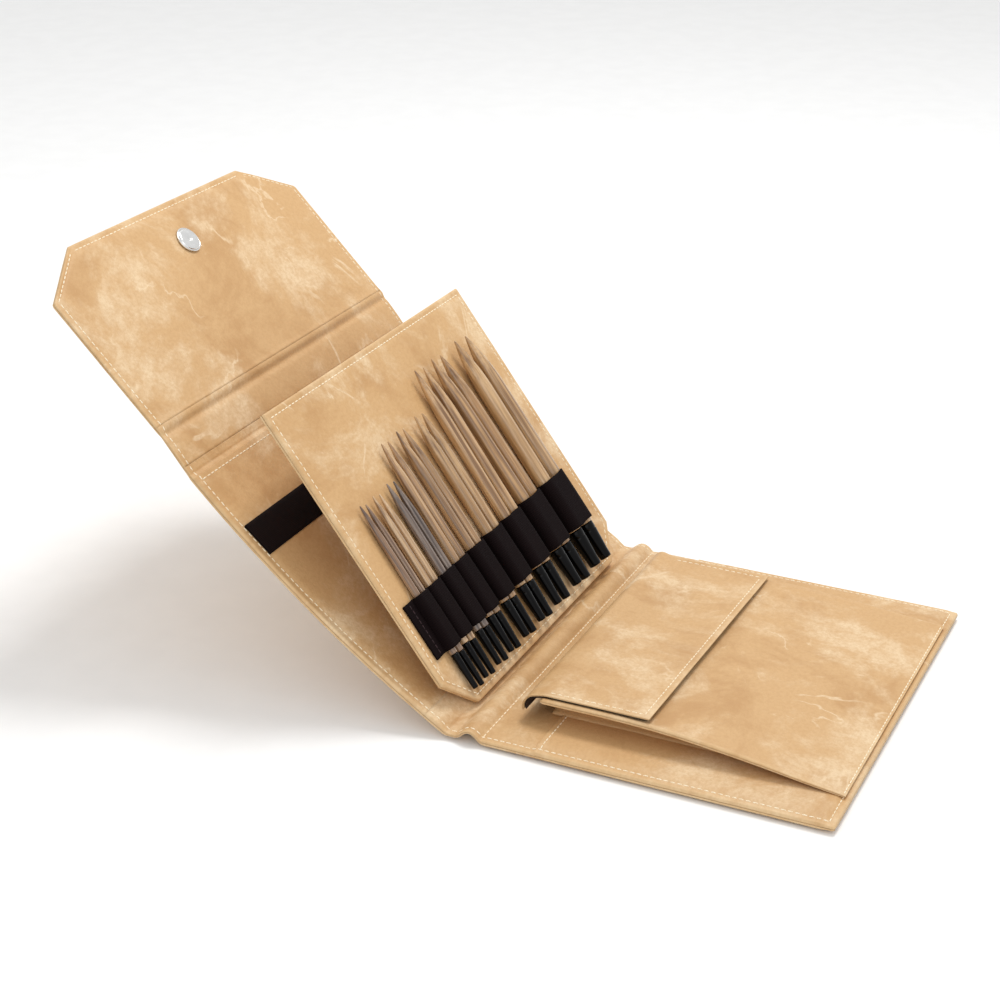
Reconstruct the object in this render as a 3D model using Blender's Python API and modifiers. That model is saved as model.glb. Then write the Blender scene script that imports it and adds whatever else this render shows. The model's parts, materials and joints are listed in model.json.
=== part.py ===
"""Interchangeable needle set: a folding case with nine pairs of knitting needle tips.

The case lies open. Its front leaf rests on the table, and the bottom spine, the bowed
back leaf, the top spine and the closing flap rise behind it. A page stands up from the
gutter and carries the tips in an elastic band stitched into nine loops.

Frame: +X runs along the hinge lines, +Y from the front leaf towards the flap, +Z up.
The origin is at the middle of the case's footprint. All sizes are in metres.
"""

import math

import bmesh
import bpy

# ---------------------------------------------------------------- driving dimensions
CASE_WIDTH = 0.205  # along the hinge lines
GAP = 0.0003  # clearance between two solids that touch
SKIN = 0.0010  # one layer of faux leather with its backing
LEAF_THICKNESS = 0.0040  # cover, board and lining together
LEAF_BOARD = 0.0014
FLAP_THICKNESS = 0.0036
FLAP_BOARD = 0.0010
HINGE_SLACK = 0.0017  # from a hinge line to the edge of a stiff leaf
CORNER_INSET = 0.006  # boards stop this far inside the skins

FRONT_LENGTH = 0.1526
SPINE_WIDTH = 0.0157
SPINE_ARCH = 0.0040  # how far the soft spine bulges up
SPINE_ARCH_SHARE = 0.66  # share of its width that bulges, from the front leaf
BACK_CHORD = 0.1548
BACK_TILT = math.radians(38.2)
BACK_BOW = 0.0044  # sag of the back leaf below its chord
TOP_SPINE_WIDTH = 0.0204
TOP_SPINE_TILT = math.radians(51.0)
FLAP_LENGTH = 0.0930
FLAP_TILT = math.radians(45.0)
FLAP_CHAMFER = (0.0325, 0.0205)  # along the free edge, along the side

PAGE_WIDTH = 0.186
PAGE_LENGTH = 0.1542
PAGE_TILT = math.radians(52.6)
PAGE_CHAMFER = (0.0165, 0.0165)
PAGE_THICKNESS = 0.0030
PAGE_BOARD = 0.0008
PAGE_SKIN = 0.0008
PAGE_FOOT = (-0.0037, 0.0021)  # page hinge line from the back leaf's hinge line, Y and Z

BAND_LOW = 0.0277  # edges of the elastic band, up the page
BAND_HIGH = 0.0547
BAND_THICKNESS = 0.0009
BAND_MARGIN = 0.0075  # flat end of the band beyond its outer loops

POCKET_WIDTH = 0.163
POCKET_DEPTH = 0.1340  # from the sewn end to the mouth
POCKET_RISE = 0.0080  # how far the mouth stands open
POCKET_SHEET = 0.0016
POCKET_START = 0.0020  # sewn edge from the leaf's free end
GUSSET_THICKNESS = 0.0007
GUSSET_FOLD = 0.012  # how far a gusset folds inwards

POCKET_FLAP_WIDTH = 0.160
POCKET_FLAP_LENGTH = 0.0525  # from its hinge line to its free edge
POCKET_FLAP_SKIN = 0.0008
FOLD_AHEAD = 0.0035  # hinge line of the pocket flap beyond the pocket's mouth
FOLD_HEIGHT = 0.0066  # hinge line above the lining
FOLD_RADIUS = 0.0053  # middle of the flap's skin in its rounded fold
FOLD_FROM = math.radians(-10.0)  # the fold's lower end, turning about its hinge line
FOLD_TURN = math.radians(100.0)
FLAP_DIP = 0.0003

SNAP_RADIUS = 0.0066
SNAP_HEIGHT = 0.0016
SNAP_RIM = 0.0005
SNAP_UP_FLAP = 0.0712  # snap centre from the flap's crease
SNAP_SEAT = 0.0712  # its mating half from the front leaf's free end
SOCKET_MOUTH = 0.45  # radius of the mating half's hollow, as a share of the snap's
CAP_RING = (0.72, 0.80, 0.92)  # the cap's raised ring: foot, crest start, crest end
CAP_BUTTON = (0.30, 0.36)  # the cap's middle button: crest and foot

STRIP_WIDTH = 0.0168
STRIP_LENGTH = 0.150
STRIP_THICKNESS = 0.0009
STRIP_FROM_TOP = 0.0455  # lower edge of the dark strip from the leaf's top hinge

# Nine pairs: diameter, length with the ferrule, place along X, centre distance, lean
PAIRS = (
    (0.00350, 0.0930, -0.0739, 0.0047, 1.0),
    (0.00375, 0.0930, -0.0626, 0.0055, 1.5),
    (0.00400, 0.0935, -0.0492, 0.0058, 1.8),
    (0.00450, 0.1090, -0.0365, 0.0058, 1.5),
    (0.00500, 0.1095, -0.0208, 0.0063, 0.8),
    (0.00550, 0.1100, -0.0029, 0.0071, 1.5),
    (0.00600, 0.1270, 0.0164, 0.0084, 2.2),
    (0.00700, 0.1270, 0.0374, 0.0090, -0.4),
    (0.00800, 0.1275, 0.0612, 0.0114, 1.0),
)
TIP_FOOT = 0.0064  # ferrule ends above the page's hinge line
TIP_STAGGER = 0.0010  # the second tip of a pair stands this much lower
TIP_CLEARANCE = 0.0004  # free space round a tip in its loop
FERRULE_LENGTHS = (0.0175, 0.0185, 0.0195)  # for the short, middle and long tips
FERRULE_TOP_SCALE = 0.97  # wood end of a ferrule against the wood
FERRULE_END_SCALE = 0.74  # cable end of a ferrule against the wood
FERRULE_COLLAR = 0.80  # share of a ferrule below its straight collar
TAPER_SHARE = 0.24  # share of a tip's length that tapers to its point
TAPER_LEAST = 2.6  # shortest taper, in diameters
POINT_RADIUS = 0.00035
POINT_ROUND = 0.0006  # height of the rounded point
SIDES = 14  # facets round a turned piece

TAN = (0.83, 0.62, 0.38)
DARK = (0.035, 0.018, 0.020)
BOARD = (0.42, 0.38, 0.32)
NICKEL = (0.75, 0.75, 0.74)
GLOSS_BLACK = (0.010, 0.010, 0.011)
WOODS = (
    (0.36, 0.27, 0.20),
    (0.60, 0.46, 0.32),
    (0.26, 0.21, 0.18),
    (0.50, 0.37, 0.25),
    (0.47, 0.34, 0.22),
    (0.52, 0.38, 0.25),
    (0.50, 0.36, 0.23),
    (0.48, 0.33, 0.20),
    (0.55, 0.40, 0.26),
)


# ---------------------------------------------------------------- scene helpers
def clear_scene():
    """Remove every object of the scene."""
    for thing in list(bpy.data.objects):
        bpy.data.objects.remove(thing, do_unlink=True)


def material(name, colour, roughness, metallic=0.0):
    """A plain Principled material."""
    mat = bpy.data.materials.new(name)
    mat.use_nodes = True
    shader = mat.node_tree.nodes["Principled BSDF"]
    shader.inputs["Base Color"].default_value = (*colour, 1.0)
    shader.inputs["Roughness"].default_value = roughness
    shader.inputs["Metallic"].default_value = metallic
    return mat


class Line:
    """A joint line along X: an empty at (y, z) whose Y axis leans up by tilt."""

    def __init__(self, name, parent, y, z, tilt=0.0, x=0.0):
        self.y, self.z, self.tilt = y, z, tilt
        self.empty = bpy.data.objects.new(name, None)
        self.empty.empty_display_size = 0.02
        PARTS.objects.link(self.empty)
        if parent is None:
            self.empty.location = (x, y, z)
            self.empty.rotation_euler = (tilt, 0.0, 0.0)
            return
        dy, dz = y - parent.y, z - parent.z
        c, s = math.cos(parent.tilt), math.sin(parent.tilt)
        self.empty.parent = parent.empty
        self.empty.location = (x, dy * c + dz * s, dz * c - dy * s)
        self.empty.rotation_euler = (tilt - parent.tilt, 0.0, 0.0)

    def ahead(self, distance):
        """The (y, z) that lies distance away along this line's slope."""
        c, s = math.cos(self.tilt), math.sin(self.tilt)
        return (self.y + distance * c, self.z + distance * s)


def add(name, data, mat, parent, location=(0.0, 0.0, 0.0), rotation=(0.0, 0.0, 0.0)):
    """Link an object under a joint line's empty."""
    thing = bpy.data.objects.new(name, data)
    PARTS.objects.link(thing)
    thing.data.materials.append(mat)
    thing.parent = parent
    thing.location = location
    thing.rotation_euler = rotation
    return thing


def solidify(thing, thickness, offset):
    """Give an open sheet its thickness; offset 1 grows along its normals."""
    mod = thing.modifiers.new("thickness", "SOLIDIFY")
    mod.thickness = thickness
    mod.offset = offset
    mod.use_even_offset = True


# ---------------------------------------------------------------- shape helpers
def plate(name, outline, base, thickness, mat, parent, x=0.0):
    """A flat plate: a filled 2D outline from height base, thickness thick."""
    curve = bpy.data.curves.new(name, "CURVE")
    curve.dimensions = "2D"
    curve.fill_mode = "BOTH"
    curve.extrude = thickness / 2
    spline = curve.splines.new("POLY")
    spline.points.add(len(outline) - 1)
    for point, (u, v) in zip(spline.points, outline):
        point.co = (u, v, 0.0, 1.0)
    spline.use_cyclic_u = True
    return add(name, curve, mat, parent, (x, 0.0, base + thickness / 2))


def meshed(curve_object):
    """Turn a filled curve into a closed mesh object of the same name and place."""
    bpy.context.view_layer.update()
    evaluated = curve_object.evaluated_get(bpy.context.evaluated_depsgraph_get())
    mesh = bpy.data.meshes.new_from_object(evaluated)
    bm = bmesh.new()
    bm.from_mesh(mesh)
    bmesh.ops.remove_doubles(bm, verts=bm.verts, dist=0.00001)
    bm.to_mesh(mesh)
    bm.free()
    name, parent = curve_object.name, curve_object.parent
    place = curve_object.matrix_world.copy()
    bpy.data.objects.remove(curve_object, do_unlink=True)
    thing = bpy.data.objects.new(name, mesh)
    PARTS.objects.link(thing)
    thing.parent = parent
    thing.matrix_world = place
    return thing


def tray(name, outline, walled, wall, thickness, mat, parent):
    """A skin with its rims turned up.

    outline is the outer shape, counter-clockwise; walled says which of its sides carry
    a rim of height wall. The skin's outer face lies at height 0.
    """
    bm = bmesh.new()
    base = [bm.verts.new((u, v, 0.0)) for u, v in outline]
    bm.faces.new(base)
    rim = {}
    for i, has_wall in enumerate(walled):
        if has_wall:
            for k in (i, (i + 1) % len(outline)):
                if k not in rim:
                    rim[k] = bm.verts.new((*outline[k], wall))
    for i, has_wall in enumerate(walled):
        if has_wall:
            k = (i + 1) % len(outline)
            bm.faces.new((base[k], base[i], rim[i], rim[k]))
    bmesh.ops.recalc_face_normals(bm, faces=bm.faces)
    if bm.faces[:][0].normal.z < 0:
        bmesh.ops.reverse_faces(bm, faces=bm.faces)
    mesh = bpy.data.meshes.new(name)
    bm.to_mesh(mesh)
    bm.free()
    thing = add(name, mesh, mat, parent)
    solidify(thing, thickness, 1.0)
    return thing


def ribbon(name, section, low, high, thickness, mat, parent, axis="x", offset=0.0):
    """A sheet drawn along one axis through an open section, then given thickness.

    With axis x the section's points are (y, z); with axis y they are (x, z).
    """
    bm = bmesh.new()
    rows = []
    for end in (low, high):
        if axis == "x":
            rows.append([bm.verts.new((end, a, b)) for a, b in section])
        else:
            rows.append([bm.verts.new((a, end, b)) for a, b in section])
    for i in range(len(section) - 1):
        bm.faces.new((rows[0][i], rows[1][i], rows[1][i + 1], rows[0][i + 1]))
    if axis == "y":
        bmesh.ops.reverse_faces(bm, faces=bm.faces)
    mesh = bpy.data.meshes.new(name)
    bm.to_mesh(mesh)
    bm.free()
    thing = add(name, mesh, mat, parent)
    solidify(thing, thickness, offset)
    return thing


def turned(name, profile, mat, parent, location, rotation):
    """A turned piece: a (radius, height) profile, top to bottom, spun about Z."""
    bm = bmesh.new()
    verts = [bm.verts.new((r, 0.0, z)) for r, z in profile]
    for a, b in zip(verts, verts[1:]):
        bm.edges.new((a, b))
    mesh = bpy.data.meshes.new(name)
    bm.to_mesh(mesh)
    bm.free()
    thing = add(name, mesh, mat, parent, location, rotation)
    spin = thing.modifiers.new("spin", "SCREW")
    spin.steps = SIDES
    spin.render_steps = SIDES
    spin.use_merge_vertices = True
    spin.merge_threshold = 0.00002
    return thing


def rectangle(width, start, end):
    """A rectangle centred on X, counter-clockwise."""
    half = width / 2
    return [(-half, start), (half, start), (half, end), (-half, end)]


def chamfered(width, start, end, cut, at_end):
    """A rectangle whose two corners at its end, or at its start, are cut off."""
    half = width / 2
    across, along = cut
    if at_end:
        corners = [(-half, start), (half, start), (half, end - along)]
        corners += [(half - across, end), (across - half, end), (-half, end - along)]
        return corners
    corners = [(across - half, start), (half - across, start), (half, start + along)]
    return corners + [(half, end), (-half, end), (-half, start + along)]


def inset(outline, distance):
    """The outline of a convex shape moved inwards by distance."""
    count = len(outline)
    lines = []
    for i in range(count):
        (ax, ay), (bx, by) = outline[i], outline[(i + 1) % count]
        length = math.hypot(bx - ax, by - ay)
        nx, ny = (ay - by) / length, (bx - ax) / length
        lines.append((nx, ny, nx * ax + ny * ay + distance))
    moved = []
    for i in range(count):
        (a, b, e), (c, d, f) = lines[i - 1], lines[i]
        det = a * d - b * c
        moved.append(((e * d - b * f) / det, (a * f - e * c) / det))
    return moved


# ---------------------------------------------------------------- front leaf
def front_leaf(case, cutter):
    """Cover, board and lining, with the round seat of the hidden snap half."""
    outline = rectangle(CASE_WIDTH, 0.0, FRONT_LENGTH)
    wall = LEAF_THICKNESS - SKIN - GAP
    cover = tray("front_cover", outline, (0, 1, 1, 1), wall, SKIN, LEATHER, case.empty)
    cut_seat(cover, cutter)
    core = inset(outline, CORNER_INSET)
    board = plate("front_board", core, SKIN + GAP, LEAF_BOARD, GREYBOARD, case.empty)
    cut_seat(meshed(board), cutter)
    top = LEAF_THICKNESS - SKIN
    plate("front_lining", outline, top, SKIN, LEATHER, case.empty)


def cut_seat(thing, cutter):
    """Cut the round seat of the hidden snap half."""
    mod = thing.modifiers.new("snap seat", "BOOLEAN")
    mod.operation = "DIFFERENCE"
    mod.solver = "EXACT"
    mod.object = cutter


def snap_seat_cutter(case):
    """The cylinder that clears the snap half, hidden from the model."""
    bm = bmesh.new()
    radius = SNAP_RADIUS + GAP
    bmesh.ops.create_cone(
        bm,
        cap_ends=True,
        segments=2 * SIDES,
        radius1=radius,
        radius2=radius,
        depth=2 * SNAP_HEIGHT + 2 * GAP,
    )
    mesh = bpy.data.meshes.new("snap_seat_cutter")
    bm.to_mesh(mesh)
    bm.free()
    cutter = bpy.data.objects.new("snap_seat_cutter", mesh)
    CUTTERS.objects.link(cutter)
    cutter.parent = case.empty
    cutter.location = (0.0, SNAP_SEAT, 0.0)
    cutter.hide_render = True
    cutter.display_type = "WIRE"
    return cutter


def snap_socket(case):
    """The mating half, flush in the leaf's outer face."""
    top = SNAP_HEIGHT
    profile = [(0.0, top), (SNAP_RADIUS, top), (SNAP_RADIUS, GAP), (SNAP_RADIUS - SNAP_RIM, 0.0)]
    hollow = SNAP_RADIUS * SOCKET_MOUTH
    profile += [(hollow, 0.0), (hollow * 0.9, top * 0.4), (0.0, top * 0.4)]
    turned("snap_socket", profile, METAL, case.empty, (0.0, SNAP_SEAT, 0.0), (0, 0, 0))


# ---------------------------------------------------------------- pocket
def pocket_height(y):
    """Height of the pocket sheet's middle above the lining at distance y from its edge."""
    share = min(y / (0.78 * POCKET_DEPTH), 1.0)
    return POCKET_RISE * math.sin(share * math.pi / 2) ** 1.15


def pocket_sheet(mouth):
    """The raised front sheet, sewn down along the leaf's free end."""
    steps = 14
    section = []
    for i in range(steps + 1):
        y = POCKET_DEPTH * i / steps
        section.append((y, pocket_height(y)))
    half = POCKET_WIDTH / 2
    ribbon("pocket_sheet", section, -half, half, POCKET_SHEET, LEATHER, mouth.empty)


def gusset(name, side, case):
    """A side wall folded inwards, between the lining and the sheet."""
    steps = 8
    start, end = 0.22 * POCKET_DEPTH, POCKET_DEPTH - 0.003
    edge = POCKET_WIDTH / 2 - 0.0012
    floor = LEAF_THICKNESS + GAP
    bm = bmesh.new()
    rows = []
    for i in range(steps + 1):
        y = start + (end - start) * i / steps
        low = floor + GUSSET_THICKNESS / 2
        high = floor + pocket_height(y) - GUSSET_THICKNESS / 2 - 2 * GAP
        fold = edge - GUSSET_FOLD * min(1.0, (high - low) / 0.006)
        points = ((edge, low), (fold, (low + high) / 2), (edge, high))
        rows.append([bm.verts.new((side * x, POCKET_START + y, z)) for x, z in points])
    for a, b in zip(rows, rows[1:]):
        for k in range(2):
            bm.faces.new((a[k], a[k + 1], b[k + 1], b[k]))
    bmesh.ops.recalc_face_normals(bm, faces=bm.faces)
    mesh = bpy.data.meshes.new(name)
    bm.to_mesh(mesh)
    bm.free()
    thing = add(name, mesh, LEATHER, case.empty)
    solidify(thing, GUSSET_THICKNESS, 0.0)


def pocket_flap(hinge):
    """The flap over the pocket's mouth: skin outside, dark lining inside."""
    half = POCKET_FLAP_WIDTH / 2
    outer = flap_section(FOLD_RADIUS, 0.0)
    ribbon("pocket_flap", outer, -half, half, POCKET_FLAP_SKIN, LEATHER, hinge.empty)
    half -= 0.001
    inner = flap_section(FOLD_RADIUS - POCKET_FLAP_SKIN - GAP, 0.0012)
    ribbon("pocket_flap_lining", inner, -half, half, POCKET_FLAP_SKIN, LINING, hinge.empty)


def flap_section(radius, short):
    """The pocket flap's section round its hinge line, as (y, z) points.

    A rounded fold of the given radius, then a leg that lies over the pocket sheet and
    dips by FLAP_DIP towards its free edge, which stops short by the given length.
    """
    steps = 6
    points = []
    for i in range(steps + 1):
        turn = FOLD_FROM + FOLD_TURN * i / steps
        points.append((radius * math.cos(turn), radius * math.sin(turn)))
    length = POCKET_FLAP_LENGTH - short
    for share in (0.35, 0.7, 1.0):
        points.append((-length * share, radius - FLAP_DIP * share**2))
    return points


# ---------------------------------------------------------------- spines and back leaf
def arch(width, rise, slack, share=1.0):
    """A soft strip's section from hinge line to hinge line, as (y, z).

    The first share of its width arches up by rise, and the rest lies flat.
    """
    steps = 12
    points = []
    for i in range(steps + 1):
        y = slack + (width - 2 * slack) * i / steps
        points.append((y, rise * math.sin(math.pi * min(i / steps / share, 1.0))))
    return points


def shifted(section, distance):
    """An open section moved along its own normals, to the left of its direction."""
    last = len(section) - 1
    moved = []
    for i, (y, z) in enumerate(section):
        (ay, az), (by, bz) = section[max(i - 1, 0)], section[min(i + 1, last)]
        length = math.hypot(by - ay, bz - az)
        moved.append((y - (bz - az) / length * distance, z + (by - ay) / length * distance))
    return moved


def bottom_spine(hinge):
    """The soft gutter strip: outer cover and inner lining, no board."""
    half = CASE_WIDTH / 2
    section = arch(SPINE_WIDTH, SPINE_ARCH, HINGE_SLACK, SPINE_ARCH_SHARE)
    apart = (SKIN + 2 * GAP) / 2
    low, high = shifted(section, -apart), shifted(section, apart)
    ribbon("spine_cover", low, -half, half, SKIN, LEATHER, hinge.empty)
    ribbon("spine_lining", high, -half, half, SKIN, LEATHER, hinge.empty)


def bow(distance):
    """The back leaf's depth below its chord at a distance from its foot."""
    share = distance / BACK_CHORD
    return -4 * BACK_BOW * share * (1 - share)


def bowed(start, end, level, steps=12):
    """The bowed leaf's section from start to end along its chord, raised by level."""
    points = []
    for i in range(steps + 1):
        y = start + (end - start) * i / steps
        points.append((y, bow(y) + level))
    return points


def back_leaf(hinge):
    """Bowed cover, board and lining, and the dark fastening strip across the lining."""
    half = CASE_WIDTH / 2
    start, end = HINGE_SLACK, BACK_CHORD - HINGE_SLACK
    outer = -(LEAF_THICKNESS - SKIN) / 2
    cover = bowed(start, end, outer)
    ribbon("back_cover", cover, -half, half, SKIN, LEATHER, hinge.empty)
    core = bowed(start + CORNER_INSET, end - CORNER_INSET, 0.0)
    inner = half - CORNER_INSET
    ribbon("back_board", core, -inner, inner, LEAF_BOARD, GREYBOARD, hinge.empty)
    lining = bowed(start, end, -outer)
    ribbon("back_lining", lining, -half, half, SKIN, LEATHER, hinge.empty)
    low = BACK_CHORD - STRIP_FROM_TOP
    level = LEAF_THICKNESS / 2 + GAP + STRIP_THICKNESS / 2
    strip = bowed(low, low + STRIP_WIDTH, level, 3)
    near = 0.003 - half
    ribbon("back_strip", strip, near, near + STRIP_LENGTH, STRIP_THICKNESS, WEBBING, hinge.empty)


def top_spine(hinge):
    """The soft strip between the back leaf and the closing flap."""
    half = CASE_WIDTH / 2
    section = arch(TOP_SPINE_WIDTH, -0.0006, 0.0015)
    ribbon("top_spine", section, -half, half, 2 * SKIN + GAP, LEATHER, hinge.empty)


# ---------------------------------------------------------------- closing flap
def closing_flap(crease):
    """Cover, board, lining and snap cap of the flap."""
    outline = chamfered(CASE_WIDTH, HINGE_SLACK, FLAP_LENGTH, FLAP_CHAMFER, True)
    outer = Line("flap_skin_level", crease, *lowered(crease, FLAP_THICKNESS / 2), crease.tilt)
    wall = FLAP_THICKNESS - SKIN - GAP
    tray("flap_cover", outline, (0, 1, 1, 1, 1, 1), wall, SKIN, LEATHER, outer.empty)
    core = inset(outline, CORNER_INSET)
    plate("flap_board", core, SKIN + GAP, FLAP_BOARD, GREYBOARD, outer.empty)
    plate("flap_lining", outline, FLAP_THICKNESS - SKIN, SKIN, LEATHER, outer.empty)
    top = SNAP_HEIGHT
    crest, foot = (SNAP_RADIUS * share for share in CAP_BUTTON)
    ring_foot, ring_start, ring_end = (SNAP_RADIUS * share for share in CAP_RING)
    profile = [(0.0, top * 0.80), (crest, top * 0.80), (foot, top * 0.62)]
    profile += [(ring_foot, top * 0.66), (ring_start, top), (ring_end, top)]
    profile += [(SNAP_RADIUS, top - SNAP_RIM), (SNAP_RADIUS, 0.0), (0.0, 0.0)]
    seat = FLAP_THICKNESS + GAP
    turned("snap_cap", profile, METAL, outer.empty, (0.0, SNAP_UP_FLAP, seat), (0, 0, 0))


def lowered(line, distance):
    """The (y, z) that lies distance under a joint line, square to its slope."""
    return (line.y + distance * math.sin(line.tilt), line.z - distance * math.cos(line.tilt))


# ---------------------------------------------------------------- needle page
def needle_page(foot):
    """Cover, board, face and the elastic band with its nine loops."""
    start = HINGE_SLACK - 0.0004
    outline = chamfered(PAGE_WIDTH, start, start + PAGE_LENGTH, PAGE_CHAMFER, False)
    back = Line("page_skin_level", foot, *lowered(foot, PAGE_THICKNESS / 2), foot.tilt)
    wall = PAGE_THICKNESS - PAGE_SKIN - GAP
    tray("page_cover", outline, (0, 1, 1, 1, 1, 1), wall, PAGE_SKIN, LEATHER, back.empty)
    core = inset(outline, CORNER_INSET)
    plate("page_board", core, PAGE_SKIN + GAP, PAGE_BOARD, GREYBOARD, back.empty)
    face = PAGE_THICKNESS - PAGE_SKIN
    plate("page_face", outline, face, PAGE_SKIN, LEATHER, back.empty)
    needle_band(back)
    return back


def needle_band(back):
    """One elastic band: flat on the page between the pairs, raised over each pair."""
    flat = PAGE_THICKNESS + GAP + BAND_THICKNESS / 2
    room = TIP_CLEARANCE + BAND_THICKNESS / 2
    section = [(pair_edge(0, -1) - BAND_MARGIN, flat)]
    arc_steps = 4
    for index, (diameter, _, x, spacing, _) in enumerate(PAIRS):
        radius = diameter / 2 + room
        centre_height = PAGE_THICKNESS + TIP_CLEARANCE + diameter / 2
        section.append((pair_edge(index, -1), flat))
        for side in (-1, 1):
            centre = x + side * spacing / 2
            begin = math.pi if side < 0 else math.pi / 2
            reach = radius + lean_room(index)
            for i in range(arc_steps + 1):
                turn = begin - math.pi / 2 * i / arc_steps
                rise = radius * math.sin(turn)
                section.append((centre + reach * math.cos(turn), centre_height + rise))
        section.append((pair_edge(index, 1), flat))
    section.append((pair_edge(len(PAIRS) - 1, 1) + BAND_MARGIN, flat))
    ribbon("needle_band", section, BAND_LOW, BAND_HIGH, BAND_THICKNESS, WEBBING, back.empty, "y")


def lean_room(index):
    """Extra half width of a loop for the lean of the pair inside it."""
    lean = math.radians(abs(PAIRS[index][4]) + 0.5)
    return math.tan(lean) * (BAND_HIGH - BAND_LOW) / 2


def pair_edge(index, side):
    """Where the band meets the page beside a pair, on the given side."""
    diameter, _, x, spacing, _ = PAIRS[index]
    reach = spacing / 2 + diameter / 2 + TIP_CLEARANCE + BAND_THICKNESS / 2 + lean_room(index)
    return x + side * (reach + 0.0003)


# ---------------------------------------------------------------- needle tips
def tip_profiles(diameter, length, ferrule):
    """The wood's and the ferrule's profiles, heights measured from the ferrule's end."""
    radius = diameter / 2
    start = ferrule + GAP
    taper = max(TAPER_SHARE * length, TAPER_LEAST * diameter)
    wood = [(0.0, length), (POINT_RADIUS, length - POINT_ROUND)]
    for share in (0.30, 0.60, 0.85):
        width = POINT_RADIUS + (radius - POINT_RADIUS) * math.sin(share * math.pi / 2)
        wood.append((width, length - taper * share))
    wood += [(radius, length - taper), (radius, start), (0.0, start)]
    top, end = radius * FERRULE_TOP_SCALE, radius * FERRULE_END_SCALE
    metal = [(0.0, ferrule), (top, ferrule), (top, ferrule * FERRULE_COLLAR)]
    metal += [(end * 1.05, ferrule * 0.22), (end, ferrule * 0.05), (end * 0.9, 0.0)]
    metal.append((0.0, 0.0))
    return wood, metal


def needle_tips(back):
    """Eighteen tips: for each pair a left and a right tip, each on its own joint line."""
    for index, (diameter, length, x, spacing, lean) in enumerate(PAIRS):
        ferrule = FERRULE_LENGTHS[index // 3]
        wood_profile, metal_profile = tip_profiles(diameter, length, ferrule)
        height = PAGE_THICKNESS + TIP_CLEARANCE + diameter / 2
        band_middle = (BAND_LOW + BAND_HIGH) / 2
        for letter, side in (("a", -1), ("b", 1)):
            foot = TIP_FOOT + (TIP_STAGGER if side < 0 else 0.0)
            angle = math.radians(lean - side * 0.25)
            centre = x + side * spacing / 2
            foot_x = centre - (band_middle - foot) * math.tan(angle)
            holder = bpy.data.objects.new(f"slide_{index + 1}{letter}", None)
            PARTS.objects.link(holder)
            holder.empty_display_size = 0.005
            holder.parent = back.empty
            holder.location = (foot_x, foot, height)
            holder.rotation_euler = (-math.pi / 2, 0.0, -angle)
            wood = WOOD_MATERIALS[index]
            name = f"tip_{index + 1}{letter}"
            turned(name, wood_profile, wood, holder, (0, 0, 0), (0, 0, 0))
            name = f"ferrule_{index + 1}{letter}"
            turned(name, metal_profile, FERRULE_METAL, holder, (0, 0, 0), (0, 0, 0))


# ---------------------------------------------------------------- assembly
def total_length():
    """The case's length along Y, from the front leaf's free end to the flap's edge."""
    length = FRONT_LENGTH + HINGE_SLACK + SPINE_WIDTH + BACK_CHORD * math.cos(BACK_TILT)
    length += TOP_SPINE_WIDTH * math.cos(TOP_SPINE_TILT) + FLAP_LENGTH * math.cos(FLAP_TILT)
    return length + FLAP_THICKNESS / 2 * math.sin(FLAP_TILT)


def build():
    """Model every piece on its joint line."""
    case_y = -total_length() / 2
    middle = LEAF_THICKNESS / 2
    case = Line("case", None, case_y, 0.0)
    front_leaf(case, snap_seat_cutter(case))
    snap_socket(case)
    sheet_middle = LEAF_THICKNESS + GAP + POCKET_SHEET / 2
    mouth = Line("pocket_hinge", case, case_y + POCKET_START, sheet_middle)
    pocket_sheet(mouth)
    gusset("pocket_gusset_near", -1, case)
    gusset("pocket_gusset_far", 1, case)
    fold_y = case_y + POCKET_START + POCKET_DEPTH + FOLD_AHEAD
    pocket_flap(Line("pocket_flap_hinge", mouth, fold_y, LEAF_THICKNESS + FOLD_HEIGHT))

    spine = Line("spine_hinge", case, case_y + FRONT_LENGTH + HINGE_SLACK, middle)
    bottom_spine(spine)
    leaf = Line("leaf_hinge", spine, spine.y + SPINE_WIDTH, middle, BACK_TILT)
    back_leaf(leaf)
    foot = Line("page_hinge", leaf, leaf.y + PAGE_FOOT[0], leaf.z + PAGE_FOOT[1], PAGE_TILT)
    back = needle_page(foot)
    needle_tips(back)
    edge = Line("top_spine_hinge", leaf, *leaf.ahead(BACK_CHORD), TOP_SPINE_TILT)
    top_spine(edge)
    crease = Line("flap_crease", edge, *edge.ahead(TOP_SPINE_WIDTH), FLAP_TILT)
    closing_flap(crease)


clear_scene()
PARTS = bpy.data.collections.new("interchangeable_needle_set")
CUTTERS = bpy.data.collections.new("cutters")
bpy.context.scene.collection.children.link(PARTS)
bpy.context.scene.collection.children.link(CUTTERS)
LEATHER = material("tan_faux_leather", TAN, 0.55)
LINING = material("dark_lining", (0.06, 0.035, 0.025), 0.8)
WEBBING = material("aubergine_elastic", DARK, 0.85)
GREYBOARD = material("greyboard", BOARD, 0.9)
METAL = material("nickel", NICKEL, 0.28, 1.0)
FERRULE_METAL = material("black_metal", GLOSS_BLACK, 0.15, 0.6)
WOOD_MATERIALS = [
    material(f"wood_{number}", colour, 0.4) for number, colour in enumerate(WOODS, 1)
]
build()
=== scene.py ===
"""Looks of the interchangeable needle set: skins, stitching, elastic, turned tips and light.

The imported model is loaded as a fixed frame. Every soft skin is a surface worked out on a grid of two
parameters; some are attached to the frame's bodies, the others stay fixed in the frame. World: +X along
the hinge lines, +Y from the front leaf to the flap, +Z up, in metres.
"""

import json
import logging
import math
from collections.abc import Callable
from dataclasses import dataclass, field
from enum import Enum

import bmesh
import bpy
import numpy as np
from mathutils import Matrix, Vector


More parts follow.
